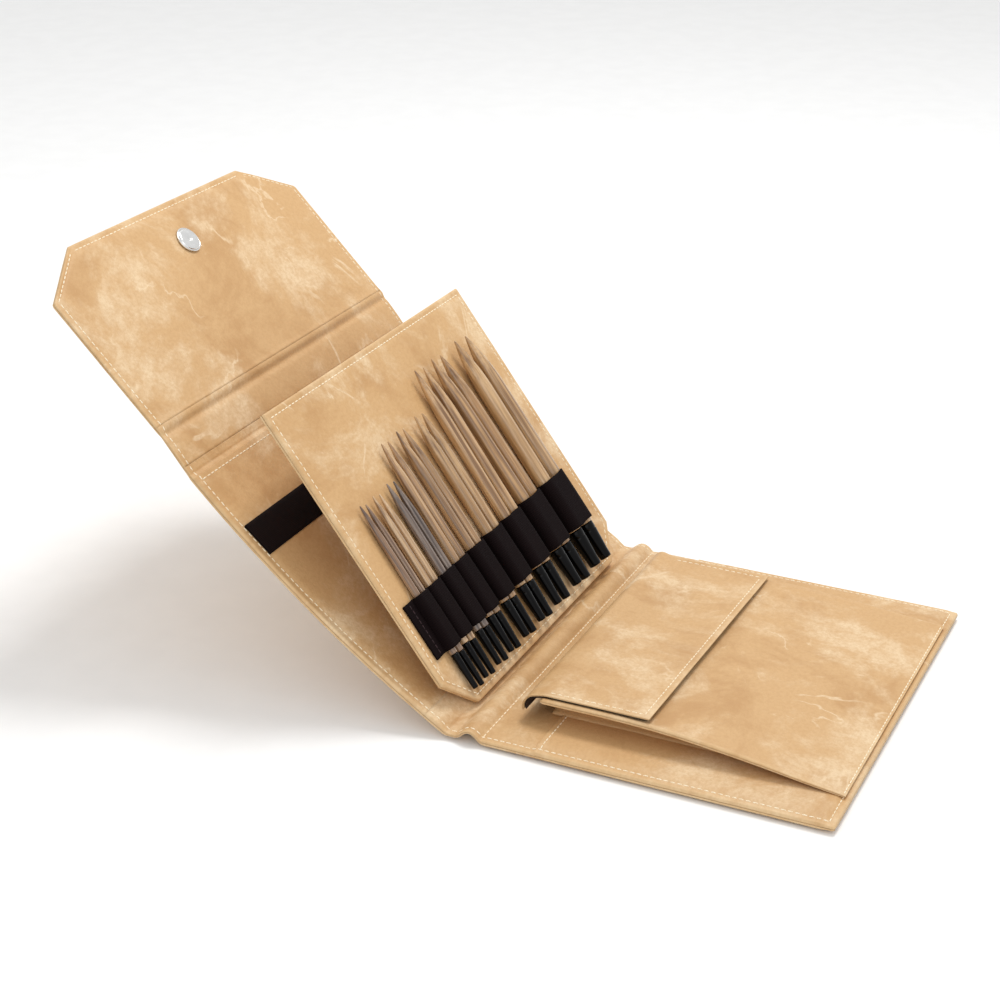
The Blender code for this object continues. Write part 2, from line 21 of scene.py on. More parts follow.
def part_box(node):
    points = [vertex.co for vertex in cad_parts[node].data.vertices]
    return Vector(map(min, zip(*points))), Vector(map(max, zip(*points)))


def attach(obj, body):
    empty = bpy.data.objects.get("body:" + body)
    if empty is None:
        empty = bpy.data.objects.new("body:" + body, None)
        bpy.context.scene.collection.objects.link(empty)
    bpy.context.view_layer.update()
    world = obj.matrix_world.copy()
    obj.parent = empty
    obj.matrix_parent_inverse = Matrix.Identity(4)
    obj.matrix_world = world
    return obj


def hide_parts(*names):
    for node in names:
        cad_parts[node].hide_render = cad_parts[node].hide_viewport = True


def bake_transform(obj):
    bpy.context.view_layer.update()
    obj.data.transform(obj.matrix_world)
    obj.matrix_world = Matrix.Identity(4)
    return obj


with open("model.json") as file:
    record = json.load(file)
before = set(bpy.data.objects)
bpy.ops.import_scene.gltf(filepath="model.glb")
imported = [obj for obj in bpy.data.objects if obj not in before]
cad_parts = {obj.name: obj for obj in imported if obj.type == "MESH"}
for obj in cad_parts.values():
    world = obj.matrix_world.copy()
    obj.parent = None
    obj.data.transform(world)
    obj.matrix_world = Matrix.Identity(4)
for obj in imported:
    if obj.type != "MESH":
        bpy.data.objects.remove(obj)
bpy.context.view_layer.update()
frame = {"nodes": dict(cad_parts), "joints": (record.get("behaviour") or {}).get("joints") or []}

LOG = logging.getLogger("needle_set")
MM = 0.001

Array = np.ndarray
Colour = tuple[float, float, float]
Surface = Callable[..., Array]


# ------------------------------------------------------------------ reading the frame
def joint_place(name: str) -> Array:
    """A hinge's place in the frame, as (y, z)."""
    joint = next(j for j in frame["joints"] if j["name"] == name)
    return np.array(joint["pos_m"][1:], float)


def slide_axis(name: str) -> Array:
    """The direction from a tip's cable end towards its point."""
    joint = next(j for j in frame["joints"] if j["name"] == name)
    return -np.array(joint["axis"], float)


def node_points(node: str) -> Array:
    """The vertices of a CAD node."""
    mesh = frame["nodes"][node].data
    points = np.empty(len(mesh.vertices) * 3, np.float32)
    mesh.vertices.foreach_get("co", points)
    return points.reshape(-1, 3).astype(float)


def node_slope(node: str) -> Array:
    """The uphill direction of a flat CAD node as (y, z), square to its largest face."""
    mesh = frame["nodes"][node].data
    largest = max(mesh.polygons, key=lambda polygon: polygon.area)
    _, ny, nz = largest.normal
    slope = np.array([nz, -ny]) / math.hypot(ny, nz)
    return slope if slope[0] > 0 else -slope


# ------------------------------------------------------------------ number helpers
def ramp(values: Array, low: float, high: float) -> Array:
    """Zero below low, one above high, and a smooth S between them."""
    t = np.clip((values - low) / (high - low), 0.0, 1.0)
    return t * t * (3 - 2 * t)


def bell(values: Array, centre: float, width: float) -> Array:
    """A bell curve of height one round centre; width is its standard deviation."""
    return np.exp(-(((values - centre) / width) ** 2) / 2)


def ripple(u: Array, v: Array, seed: float) -> Array:
    """A slow unevenness between about -1 and 1: five crossed sine waves of u and v."""
    total = np.zeros(np.broadcast(u, v).shape)
    for k, length in enumerate((0.130, 0.083, 0.052, 0.037, 0.024)):
        turn = seed + 2.4 * k
        along = (u * math.cos(turn) + v * math.sin(turn)) / length
        total = total + np.sin(2 * math.pi * along + seed * (k + 1)) * length / 0.2
    return total


def unit(vectors: Array) -> Array:
    """Vectors scaled to length one along their last axis."""
    return vectors / np.maximum(np.linalg.norm(vectors, axis=-1, keepdims=True), 1e-12)


# ------------------------------------------------------------------ mesh helpers
def grid_faces(rows: int, columns: int, wrap: bool) -> Array:
    """The quads of a grid of rows by columns, wrapped round its columns when asked."""
    last = columns if wrap else columns - 1
    i, j = np.meshgrid(np.arange(rows - 1), np.arange(last), indexing="ij")
    right = (j + 1) % columns
    quads = (i * columns + j, i * columns + right, (i + 1) * columns + right, (i + 1) * columns + j)
    return np.stack(quads, axis=-1).reshape(-1, 4)


def new_piece(name: str, points: Array, faces: Array, smooth: bool = True) -> bpy.types.Object:
    """A mesh object at the origin from point and face arrays.

    Args:
        name: the piece's name.
        points: n by 3 places in the frame.
        faces: m by 4 (or by 3) vertex numbers.
        smooth: whether its faces are shaded smoothly.
    Returns:
        The new object, linked to the scene.
    """
    mesh = bpy.data.meshes.new(name)
    mesh.from_pydata(points.reshape(-1, 3).tolist(), [], faces.tolist())
    mesh.polygons.foreach_set("use_smooth", np.full(len(mesh.polygons), smooth))
    mesh.update()
    piece = bpy.data.objects.new(name, mesh)
    bpy.context.scene.collection.objects.link(piece)
    return piece


def give_vectors(piece: bpy.types.Object, name: str, values: Array) -> None:
    """Store one vector for each vertex under the given attribute name."""
    layer = piece.data.attributes.new(name, "FLOAT_VECTOR", "POINT")
    layer.data.foreach_set("vector", values.astype(np.float32).ravel())


def give_values(piece: bpy.types.Object, name: str, values: Array) -> None:
    """Store one number for each vertex under the given attribute name."""
    layer = piece.data.attributes.new(name, "FLOAT", "POINT")
    layer.data.foreach_set("value", values.astype(np.float32).ravel())


def turned_piece(name: str, foot: Array, axis: Array, profile: Array, sides: int) -> bpy.types.Object:
    """A lathe-turned piece: a (radius, height) profile carried round an axis.

    A point is foot + height * axis + radius * (cos a * p + sin a * q), with p and q
    square to the axis. The profile runs from the foot's centre to the top's centre.

    Args:
        name: the piece's name.
        foot: where height zero lies on the axis.
        axis: the unit direction of the axis.
        profile: n by 2 radii and heights, first and last on the axis.
        sides: facets round the axis.
    Returns:
        The piece, with a solid-grain attribute "grain" in its own frame.
    """
    side = unit(np.cross(axis, np.array([0.31, 0.52, 0.17])))
    other = np.cross(axis, side)
    angle = 2 * math.pi * np.arange(sides) / sides
    inner = profile[1:-1]
    rim = np.cos(angle)[:, None] * side + np.sin(angle)[:, None] * other
    body = foot + inner[:, 1, None, None] * axis + inner[:, 0, None, None] * rim[None]
    points = np.vstack([body.reshape(-1, 3), foot + profile[0, 1] * axis, foot + profile[-1, 1] * axis])
    quads = grid_faces(len(inner), sides, True)
    first, last = len(points) - 2, len(points) - 1
    ring = np.arange(sides)
    after = (ring + 1) % sides
    top = (len(inner) - 1) * sides
    caps = [np.stack([np.full(sides, first), after, ring, ring], 1)]
    caps.append(np.stack([np.full(sides, last), top + ring, top + after, top + after], 1))
    faces = quads.tolist() + [row[:3] for row in np.vstack(caps).tolist()]
    piece = new_piece(name, points, np.array(faces, dtype=object))
    own = points - foot
    give_vectors(piece, "grain", np.stack([own @ side, own @ other, own @ axis], 1))
    return piece


def thread_stitches(name: str, lines: list[tuple[Array, Array]], finish: "ThreadFinish") -> bpy.types.Object:
    """One mesh of many small stitches that follow lines on a surface.

    Each stitch is a short six-sided capsule, half sunk in the skin: ring r has the radius
    thickness * sin and lies along the line at length * cos of the ring's angle.

    Args:
        name: the piece's name.
        lines: for each seam its points and the surface normals there.
        finish: the thread's sizes and colour.
    Returns:
        The piece that holds every stitch.
    """
    centres, aheads, ups = [], [], []
    for points, normals in lines:
        steps = np.linalg.norm(np.diff(points, axis=0), axis=1)
        along = np.concatenate([[0.0], np.cumsum(steps)])
        count = max(int(along[-1] / finish.pitch), 1)
        at = (np.arange(count) + 0.5) * along[-1] / count
        place = np.stack([np.interp(at, along, points[:, k]) for k in range(3)], 1)
        ahead = np.stack([np.interp(at + 0.5 * MM, along, points[:, k]) for k in range(3)], 1)
        behind = np.stack([np.interp(at - 0.5 * MM, along, points[:, k]) for k in range(3)], 1)
        centres.append(place)
        aheads.append(unit(ahead - behind))
        ups.append(unit(np.stack([np.interp(at, along, normals[:, k]) for k in range(3)], 1)))
    centre, ahead, up = np.vstack(centres), np.vstack(aheads), np.vstack(ups)
    across = unit(np.cross(up, ahead))
    up = np.cross(ahead, across)
    turn = np.radians([2.0, 40.0, 90.0, 140.0, 178.0])
    ring = 2 * math.pi * np.arange(6) / 6
    t, r = np.meshgrid(turn, ring, indexing="ij")
    far = -np.cos(t) * finish.length / 2
    wide = np.sin(t) ** 0.6 * np.cos(r) * finish.thickness / 2
    high = np.sin(t) ** 0.6 * np.sin(r) * finish.thickness / 2
    local = np.stack([far, wide, high], -1).reshape(-1, 3)
    basis = np.stack([ahead, across, up], 1)
    points = centre[:, None] + np.einsum("kc,ncd->nkd", local, basis)
    faces = grid_faces(len(turn), len(ring), True)
    shift = np.arange(len(centre))[:, None, None] * len(local)
    piece = new_piece(name, points, (faces[None] + shift).reshape(-1, 4))
    piece.data.materials.append(finish.material())
    return piece


# ------------------------------------------------------------------ shader helpers
def linear(red: int, green: int, blue: int) -> Colour:
    """A display colour of 0 to 255 as linear light."""
    share = np.array([red, green, blue]) / 255
    low, high = share / 12.92, ((share + 0.055) / 1.055) ** 2.4
    return tuple(float(c) for c in np.where(share <= 0.04045, low, high))


class Nodes:
    """A thin maker of shader nodes in one tree."""

    def __init__(self, tree: bpy.types.NodeTree) -> None:
        """Keep the tree that the nodes go into."""
        self.tree = tree

    def add(self, kind: str, inputs: dict | None = None, **settings) -> bpy.types.Node:
        """Make a node, set its properties, then set or link its inputs."""
        node = self.tree.nodes.new(kind)
        for key, value in settings.items():
            setattr(node, key, value)
        for key, value in (inputs or {}).items():
            if isinstance(value, bpy.types.NodeSocket):
                self.tree.links.new(value, node.inputs[key])
            else:
                node.inputs[key].default_value = value
        return node

    def mixed(self, share, first, second) -> bpy.types.NodeSocket:
        """Two colours mixed by a share, each a socket or a constant."""
        node = self.add("ShaderNodeMix", data_type="RGBA")
        for index, value in ((0, share), (6, first), (7, second)):
            if isinstance(value, bpy.types.NodeSocket):
                self.tree.links.new(value, node.inputs[index])
            else:
                node.inputs[index].default_value = value
        return node.outputs[2]

    def sums(self, operation: str, first, second) -> bpy.types.NodeSocket:
        """One Math node of two sockets or numbers."""
        return self.add("ShaderNodeMath", {0: first, 1: second}, operation=operation).outputs[0]

    def between(self, value, low: float, high: float, to_low: float, to_high: float) -> bpy.types.NodeSocket:
        """A value remapped smoothly from low..high to to_low..to_high."""
        inputs = {"Value": value, "From Min": low, "From Max": high, "To Min": to_low, "To Max": to_high}
        return self.add("ShaderNodeMapRange", inputs, interpolation_type="SMOOTHSTEP").outputs[0]

    def attribute(self, name: str, kind: str = "Vector") -> bpy.types.NodeSocket:
        """A mesh attribute's socket."""
        return self.add("ShaderNodeAttribute", attribute_name=name).outputs[kind]

    def noise(self, vector, scale: float, detail: float, roughness: float = 0.5, distortion: float = 0.0):
        """A noise texture's value socket."""
        inputs = {"Vector": vector, "Scale": scale, "Detail": detail}
        inputs |= {"Roughness": roughness, "Distortion": distortion}
        return self.add("ShaderNodeTexNoise", inputs).outputs[0]


def shader_group(
    name: str, inputs: dict, outputs: dict
) -> tuple[bpy.types.NodeTree, Nodes, dict, bpy.types.Node]:
    """An empty shader node group with named sockets.

    Args:
        name: the group's name.
        inputs: socket names with (type, default).
        outputs: socket names with their type.
    Returns:
        The group, its node maker, its input sockets by name, and its output node.
    """
    tree = bpy.data.node_groups.new(name, "ShaderNodeTree")
    for key, (kind, default) in inputs.items():
        socket = tree.interface.new_socket(key, in_out="INPUT", socket_type=kind)
        if default is not None:
            socket.default_value = default
    for key, kind in outputs.items():
        tree.interface.new_socket(key, in_out="OUTPUT", socket_type=kind)
    nodes = Nodes(tree)
    given = nodes.add("NodeGroupInput").outputs
    return tree, nodes, {key: given[key] for key in inputs}, nodes.add("NodeGroupOutput")


VECTOR, COLOUR, VALUE = "NodeSocketVector", "NodeSocketColor", "NodeSocketFloat"


class Effects:
    """The shader groups that several finishes share, each built once."""

    built: dict[str, bpy.types.NodeTree] = {}

    @classmethod
    def mottle(cls) -> bpy.types.NodeTree:
        """Cloudy marbling of a waxed hide: pale veils and wisps over a base, with deep patches."""
        if "mottle" not in cls.built:
            inputs = {"Place": (VECTOR, None), "Base": (COLOUR, (0.6, 0.4, 0.2, 1))}
            inputs |= {"Pale": (COLOUR, (0.8, 0.6, 0.4, 1)), "Deep": (COLOUR, (0.4, 0.25, 0.1, 1))}
            inputs |= {"Veil": (VALUE, 0.75)}
            tree, nodes, given, out = shader_group("mottled_hide", inputs, {"Color": COLOUR, "Cloud": VALUE})
            place = given["Place"]
            cloud = nodes.noise(place, 15.0, 10.0, 0.68, 0.45)
            veil = nodes.sums("MULTIPLY", nodes.between(cloud, 0.47, 0.62, 0.0, 1.0), given["Veil"])
            feather = nodes.between(nodes.noise(place, 95.0, 8.0, 0.75, 0.6), 0.30, 0.62, 0.35, 1.0)
            veil = nodes.sums("MULTIPLY", veil, feather)
            deep = nodes.between(nodes.noise(place, 19.0, 9.0, 0.70, 0.5), 0.47, 0.66, 0.0, 0.75)
            bend = nodes.sums("SUBTRACT", nodes.noise(place, 14.0, 5.0, 0.55, 0.9), 0.5)
            bend = nodes.sums("ABSOLUTE", bend, 0.0)
            thin = nodes.between(nodes.noise(place, 34.0, 3.0), 0.50, 0.62, 0.0, 0.75)
            vein = nodes.sums("MULTIPLY", nodes.between(bend, 0.0, 0.016, 1.0, 0.0), thin)
            fine = nodes.between(nodes.noise(place, 520.0, 5.0, 0.75), 0.38, 0.66, 0.0, 0.34)
            shade = nodes.mixed(deep, given["Base"], given["Deep"])
            shade = nodes.mixed(veil, shade, given["Pale"])
            shade = nodes.mixed(vein, shade, given["Pale"])
            shade = nodes.mixed(fine, shade, given["Deep"])
            tree.links.new(shade, out.inputs["Color"])
            tree.links.new(veil, out.inputs["Cloud"])
            cls.built["mottle"] = tree
        return cls.built["mottle"]

    @classmethod
    def pebble(cls) -> bpy.types.NodeTree:
        """Fine pebbled grain with slow dents, as a height."""
        if "pebble" not in cls.built:
            inputs = {"Place": (VECTOR, None), "Size": (VALUE, 1.0)}
            tree, nodes, given, out = shader_group("pebble_grain", inputs, {"Height": VALUE, "Pores": VALUE})
            scaled = nodes.add("ShaderNodeVectorMath", {0: given["Place"]}, operation="SCALE")
            tree.links.new(nodes.sums("DIVIDE", 1.0, given["Size"]), scaled.inputs["Scale"])
            place = scaled.outputs[0]
            cells = nodes.add("ShaderNodeTexVoronoi", {"Vector": place, "Scale": 1250.0}).outputs["Distance"]
            soft = nodes.noise(place, 620.0, 3.0)
            slow = nodes.noise(place, 75.0, 4.0, 0.55)
            height = nodes.sums("ADD", nodes.sums("MULTIPLY", cells, -0.35), nodes.sums("MULTIPLY", soft, 0.5))
            height = nodes.sums("ADD", height, nodes.sums("MULTIPLY", slow, 1.6))
            tree.links.new(height, out.inputs["Height"])
            tree.links.new(nodes.between(cells, 0.2, 0.75, 0.0, 1.0), out.inputs["Pores"])
            cls.built["pebble"] = tree
        return cls.built["pebble"]

    @classmethod
    def rubbed(cls) -> bpy.types.NodeTree:
        """Edge wear: a colour lightened where the edge mask is high, broken up by noise."""
        if "rubbed" not in cls.built:
            inputs = {"Place": (VECTOR, None), "Color": (COLOUR, (1, 1, 1, 1)), "Worn": (COLOUR, (1, 1, 1, 1))}
            inputs |= {"Edge": (VALUE, 0.0), "Amount": (VALUE, 0.5)}
            tree, nodes, given, out = shader_group("rubbed_edges", inputs, {"Color": COLOUR, "Mask": VALUE})
            patches = nodes.between(nodes.noise(given["Place"], 160.0, 5.0, 0.6), 0.35, 0.65, 0.35, 1.0)
            mask = nodes.sums("MULTIPLY", nodes.sums("MULTIPLY", given["Edge"], patches), given["Amount"])
            tree.links.new(nodes.mixed(mask, given["Color"], given["Worn"]), out.inputs["Color"])
            tree.links.new(mask, out.inputs["Mask"])
            cls.built["rubbed"] = tree
        return cls.built["rubbed"]

    @classmethod
    def weave(cls) -> bpy.types.NodeTree:
        """A ribbed narrow fabric: ribs along one way, crossed by fine picks, as height and mask."""
        if "weave" not in cls.built:
            inputs = {"Place": (VECTOR, None), "Rib": (VALUE, 900.0), "Pick": (VALUE, 1500.0)}
            tree, nodes, given, out = shader_group("ribbed_weave", inputs, {"Height": VALUE, "Mask": VALUE})
            parts = nodes.add("ShaderNodeSeparateXYZ", {0: given["Place"]}).outputs
            waves = []
            for part, key in ((parts[0], "Rib"), (parts[1], "Pick")):
                turns = nodes.sums("MULTIPLY", given[key], 6.2832)
                waves.append(nodes.sums("SINE", nodes.sums("MULTIPLY", part, turns), 0.0))
            rib, pick = waves
            both = nodes.sums("ADD", rib, nodes.sums("MULTIPLY", nodes.sums("MULTIPLY", rib, pick), 0.7))
            fuzz = nodes.noise(given["Place"], 2600.0, 2.0)
            height = nodes.sums("ADD", both, fuzz)
            tree.links.new(height, out.inputs["Height"])
            # the mask is low in the grooves, where the finishes paint shade
            tree.links.new(nodes.between(both, -1.2, 1.2, 0.0, 1.0), out.inputs["Mask"])
            cls.built["weave"] = tree
        return cls.built["weave"]


def fresh_material(name: str) -> tuple[bpy.types.Material, Nodes, bpy.types.Node]:
    """A node material with its node maker and its Principled shader."""
    made = bpy.data.materials.new(name)
    made.use_nodes = True
    return made, Nodes(made.node_tree), made.node_tree.nodes["Principled BSDF"]


def bump(nodes: Nodes, shader: bpy.types.Node, height, distance: float, strength: float) -> None:
    """Feed a height into the shader's normal; distance is the depth of height one."""
    node = nodes.add("ShaderNodeBump", {"Height": height, "Distance": distance, "Strength": strength})
    nodes.tree.links.new(node.outputs["Normal"], shader.inputs["Normal"])


# ------------------------------------------------------------------ finishes
@dataclass(frozen=True)
class Finish:
    """A named surface whose node material is made on first use."""

    name: str

    def material(self) -> bpy.types.Material:
        """The finish's material; every later call returns the same one."""
        if self.name not in bpy.data.materials:
            _, nodes, shader = fresh_material(self.name)
            self.paint(nodes, shader)
        return bpy.data.materials[self.name]

    def paint(self, nodes: Nodes, shader: bpy.types.Node) -> None:
        """Lay out the nodes; each kind of finish has its own."""
        raise NotImplementedError


@dataclass(frozen=True)
class HideFinish(Finish):
    """Marbled faux leather; reads the attributes "lay" and "rim"."""

    name: str = "tan_marbled_hide"
    base: Colour = linear(205, 166, 117)
    pale: Colour = linear(230, 205, 168)
    deep: Colour = linear(184, 140, 90)
    worn: Colour = linear(226, 196, 150)
    veil: float = 0.85
    roughness: float = 0.50

    def paint(self, nodes: Nodes, shader: bpy.types.Node) -> None:
        """Lay out the nodes of the finish."""
        place = nodes.attribute("lay")
        inputs = {"Place": place, "Base": (*self.base, 1), "Pale": (*self.pale, 1), "Deep": (*self.deep, 1)}
        mottle = nodes.add("ShaderNodeGroup", node_tree=Effects.mottle())
        pebble = nodes.add("ShaderNodeGroup", node_tree=Effects.pebble())
        rubbed = nodes.add("ShaderNodeGroup", node_tree=Effects.rubbed())
        for key, value in (inputs | {"Veil": self.veil}).items():
            connect(nodes, mottle, key, value)
        connect(nodes, pebble, "Place", place)
        wear = {"Place": place, "Color": mottle.outputs["Color"], "Worn": (*self.worn, 1)}
        wear |= {"Edge": nodes.attribute("rim", "Fac"), "Amount": 0.55}
        for key, value in wear.items():
            connect(nodes, rubbed, key, value)
        nodes.tree.links.new(rubbed.outputs["Color"], shader.inputs["Base Color"])
        gloss = nodes.between(mottle.outputs["Cloud"], 0.0, 1.0, self.roughness, self.roughness + 0.10)
        gloss = nodes.sums("ADD", gloss, nodes.sums("MULTIPLY", pebble.outputs["Pores"], 0.06))
        nodes.tree.links.new(gloss, shader.inputs["Roughness"])
        shader.inputs["Specular IOR Level"].default_value = 0.35
        bump(nodes, shader, pebble.outputs["Height"], 0.00022, 0.8)


def connect(nodes: Nodes, node: bpy.types.Node, key: str, value) -> None:
    """Set or link one input of a node."""
    if isinstance(value, bpy.types.NodeSocket):
        nodes.tree.links.new(value, node.inputs[key])
    else:
        node.inputs[key].default_value = value


@dataclass(frozen=True)
class ThreadFinish(Finish):
    """Cream sewing thread."""

    name: str = "cream_thread"
    colour: Colour = linear(255, 246, 222)
    shadow: Colour = linear(232, 208, 168)
    length: float = 2.2 * MM
    thickness: float = 0.62 * MM
    pitch: float = 2.9 * MM

    def paint(self, nodes: Nodes, shader: bpy.types.Node) -> None:
        """Lay out the nodes of the finish."""
        place = nodes.add("ShaderNodeTexCoord").outputs["Object"]
        twist = nodes.noise(place, 2400.0, 2.0)
        shade = nodes.mixed(nodes.between(twist, 0.35, 0.65, 0.0, 1.0), (*self.shadow, 1), (*self.colour, 1))
        nodes.tree.links.new(shade, shader.inputs["Base Color"])
        shader.inputs["Roughness"].default_value = 0.7
        bump(nodes, shader, twist, 0.0001, 0.6)


@dataclass(frozen=True)
class ElasticFinish(Finish):
    """Ribbed aubergine elastic with painted shade in its weave grooves; reads the attribute "lay"."""

    name: str = "aubergine_elastic_weave"
    yarn: Colour = linear(20, 6, 8)
    # painted shade: the near-black colour laid where the weave's height is low, in its grooves
    groove_shade: Colour = linear(8, 3, 3)
    rib: float = 1100.0
    pick: float = 1400.0

    def paint(self, nodes: Nodes, shader: bpy.types.Node) -> None:
        """Lay out the nodes of the finish."""
        weave = nodes.add("ShaderNodeGroup", node_tree=Effects.weave())
        place = nodes.attribute("lay")
        for key, value in {"Place": place, "Rib": self.rib, "Pick": self.pick}.items():
            connect(nodes, weave, key, value)
        slow = nodes.between(nodes.noise(place, 90.0, 4.0), 0.3, 0.7, 0.75, 1.0)
        mask = nodes.sums("MULTIPLY", weave.outputs["Mask"], slow)
        # the colour falls to the painted groove shade where the weave is low, with a slow random variation
        shade = nodes.mixed(mask, (*self.groove_shade, 1), (*self.yarn, 1))
        nodes.tree.links.new(shade, shader.inputs["Base Color"])
        shader.inputs["Roughness"].default_value = 0.82
        shader.inputs["Specular IOR Level"].default_value = 0.10
        bump(nodes, shader, weave.outputs["Height"], 0.00007, 0.6)


@dataclass(frozen=True)
class LiningFinish(Finish):
    """Dark brown woven lining inside the pocket flap, with painted shade in its weave grooves; reads the
    attribute "lay".
    """

    name: str = "dark_brown_lining"
    colour: Colour = linear(66, 44, 32)

    def paint(self, nodes: Nodes, shader: bpy.types.Node) -> None:
        """Lay out the nodes of the finish."""
        weave = nodes.add("ShaderNodeGroup", node_tree=Effects.weave())
        for key, value in {"Place": nodes.attribute("lay"), "Rib": 1600.0, "Pick": 1600.0}.items():
            connect(nodes, weave, key, value)
        # painted shade: a darker copy of the lining colour, laid where the weave's height is low
        dark = tuple(c * 0.45 for c in self.colour)
        shade = nodes.mixed(weave.outputs["Mask"], (*dark, 1), (*self.colour, 1))
        nodes.tree.links.new(shade, shader.inputs["Base Color"])
        shader.inputs["Roughness"].default_value = 0.9
        bump(nodes, shader, weave.outputs["Height"], 0.0001, 0.7)


@dataclass(frozen=True)
class WoodFinish(Finish):
    """Polished laminated wood; reads the attribute "grain" in each tip's own frame."""

    light: Colour
    middle: Colour
    dark: Colour
    streak: float = 1.0

    def paint(self, nodes: Nodes, shader: bpy.types.Node) -> None:
        """Lay out the nodes of the finish."""
        grain = nodes.attribute("grain")
        layers = nodes.add("ShaderNodeMapping", {"Vector": grain, "Scale": (1.0, 0.25, 0.035)}).outputs[0]
        fibres = nodes.add("ShaderNodeMapping", {"Vector": grain, "Scale": (1.0, 1.0, 0.02)}).outputs[0]
        sheet = nodes.between(nodes.noise(layers, 900.0, 3.0, 0.5, 0.4), 0.38, 0.62, 0.0, 1.0)
        fine = nodes.between(nodes.noise(fibres, 3200.0, 4.0, 0.65), 0.40, 0.70, 0.0, 1.0)
        slow = nodes.between(nodes.noise(fibres, 500.0, 3.0, 0.6), 0.45, 0.70, 0.0, 1.0)
        shade = nodes.mixed(sheet, (*self.middle, 1), (*self.light, 1))
        shade = nodes.mixed(nodes.sums("MULTIPLY", slow, self.streak), shade, (*self.dark, 1))
        shade = nodes.mixed(nodes.sums("MULTIPLY", fine, self.streak * 0.6), shade, (*self.dark, 1))
        nodes.tree.links.new(shade, shader.inputs["Base Color"])
        gloss = nodes.between(fine, 0.0, 1.0, 0.24, 0.38)
        nodes.tree.links.new(gloss, shader.inputs["Roughness"])
        shader.inputs["Coat Weight"].default_value = 0.6
        shader.inputs["Coat Roughness"].default_value = 0.12
        bump(nodes, shader, fine, 0.00003, 0.5)


@dataclass(frozen=True)
class MetalFinish(Finish):
    """A turned metal: bright nickel, or black lacquer over brass."""

    colour: Colour
    metallic: float
    roughness: float
    coat: float = 0.0
    mirror: float = 0.5

    def paint(self, nodes: Nodes, shader: bpy.types.Node) -> None:
        """Lay out the nodes of the finish."""
        place = nodes.add("ShaderNodeTexCoord").outputs["Object"]
        smudge = nodes.noise(place, 260.0, 5.0, 0.6)
        dust = nodes.between(nodes.noise(place, 1700.0, 3.0), 0.55, 0.8, 0.0, 0.25)
        lifted = tuple(min(1.0, c * 1.6 + 0.003) for c in self.colour)
        shade = nodes.mixed(dust, (*self.colour, 1), (*lifted, 1))
        nodes.tree.links.new(shade, shader.inputs["Base Color"])
        gloss = nodes.between(smudge, 0.3, 0.7, self.roughness * 0.7, self.roughness * 1.4)
        nodes.tree.links.new(gloss, shader.inputs["Roughness"])
        shader.inputs["Metallic"].default_value = self.metallic
        shader.inputs["Specular IOR Level"].default_value = self.mirror
        shader.inputs["Coat Weight"].default_value = self.coat
        shader.inputs["Coat Roughness"].default_value = 0.05
        bump(nodes, shader, smudge, 0.00002, 0.3)


@dataclass(frozen=True)
class CardFinish(Finish):
    """Grey bookbinder's board with pressed fibres."""

    name: str = "grey_board"
    colour: Colour = linear(168, 158, 140)

    def paint(self, nodes: Nodes, shader: bpy.types.Node) -> None:
        """Lay out the nodes of the finish."""
        place = nodes.add("ShaderNodeTexCoord").outputs["Object"]
        fibres = nodes.noise(place, 800.0, 6.0, 0.7, 1.5)
        dark = tuple(c * 0.7 for c in self.colour)
        share = nodes.between(fibres, 0.35, 0.65, 0.0, 1.0)
        nodes.tree.links.new(nodes.mixed(share, (*dark, 1), (*self.colour, 1)), shader.inputs["Base Color"])
        shader.inputs["Roughness"].default_value = 0.9
        bump(nodes, shader, fibres, 0.0002, 0.5)


HIDE = HideFinish()
THREAD = ThreadFinish()
ELASTIC = ElasticFinish()
# the fastening tape's second colour is painted shade in its weave grooves
FASTENER = ElasticFinish("black_brown_fastening_tape", linear(30, 16, 14), linear(10, 5, 5), 1300.0, 1300.0)
LINING = LiningFinish()
NICKEL = MetalFinish("polished_nickel", (0.80, 0.80, 0.79), 1.0, 0.22)
BLACK = MetalFinish("black_lacquered_brass", (0.0015, 0.0014, 0.0016), 0.0, 0.10, 0.04, 0.12)
CARD = CardFinish()


class Side(Enum):
    """The two ends of a hinge line."""

    NEAR = -1
    FAR = 1


class Face(Enum):
    """The two faces of a panel."""

    INNER = 1
    OUTER = -1


# ------------------------------------------------------------------ panels
@dataclass(frozen=True)
class RolledRim:
    """A panel's turned edge: two glued layers with a fine groove between them.

    Each step is a distance from the edge and the share of the full height there.
    """

    steps: tuple = ((0.40, 0.0), (0.10, 0.16), (0.0, 0.40), (0.09, 0.70), (0.35, 0.90), (0.85, 1.0))
    further: tuple = (1.4, 1.9, 2.3, 2.7, 3.0, 3.3, 3.7, 4.3, 5.2, 6.5)
    thinned: float = 0.0  # share of the height missing at the edge, where no board lies

    def distances(self) -> tuple[Array, Array]:
        """Distances from the edge and shares of the height, from the groove inwards."""
        d = np.array([a for a, _ in self.steps] + list(self.further)) * MM
        share = np.array([b for _, b in self.steps] + [1.0] * len(self.further))
        return d, share * (1 - self.thinned * (1 - ramp(d, 1.5 * MM, 6.5 * MM)))


PLAIN_RIM = RolledRim()
BOARD_RIM = RolledRim(thinned=0.36)
# Distances of the stations beside a closed end.
CLOSE_STEPS = np.array([0.0, 0.05, 0.15, 0.35, 0.6, 0.85, 1.4, 2.0, 2.5, 2.8, 3.1, 3.5, 4.2]) * MM


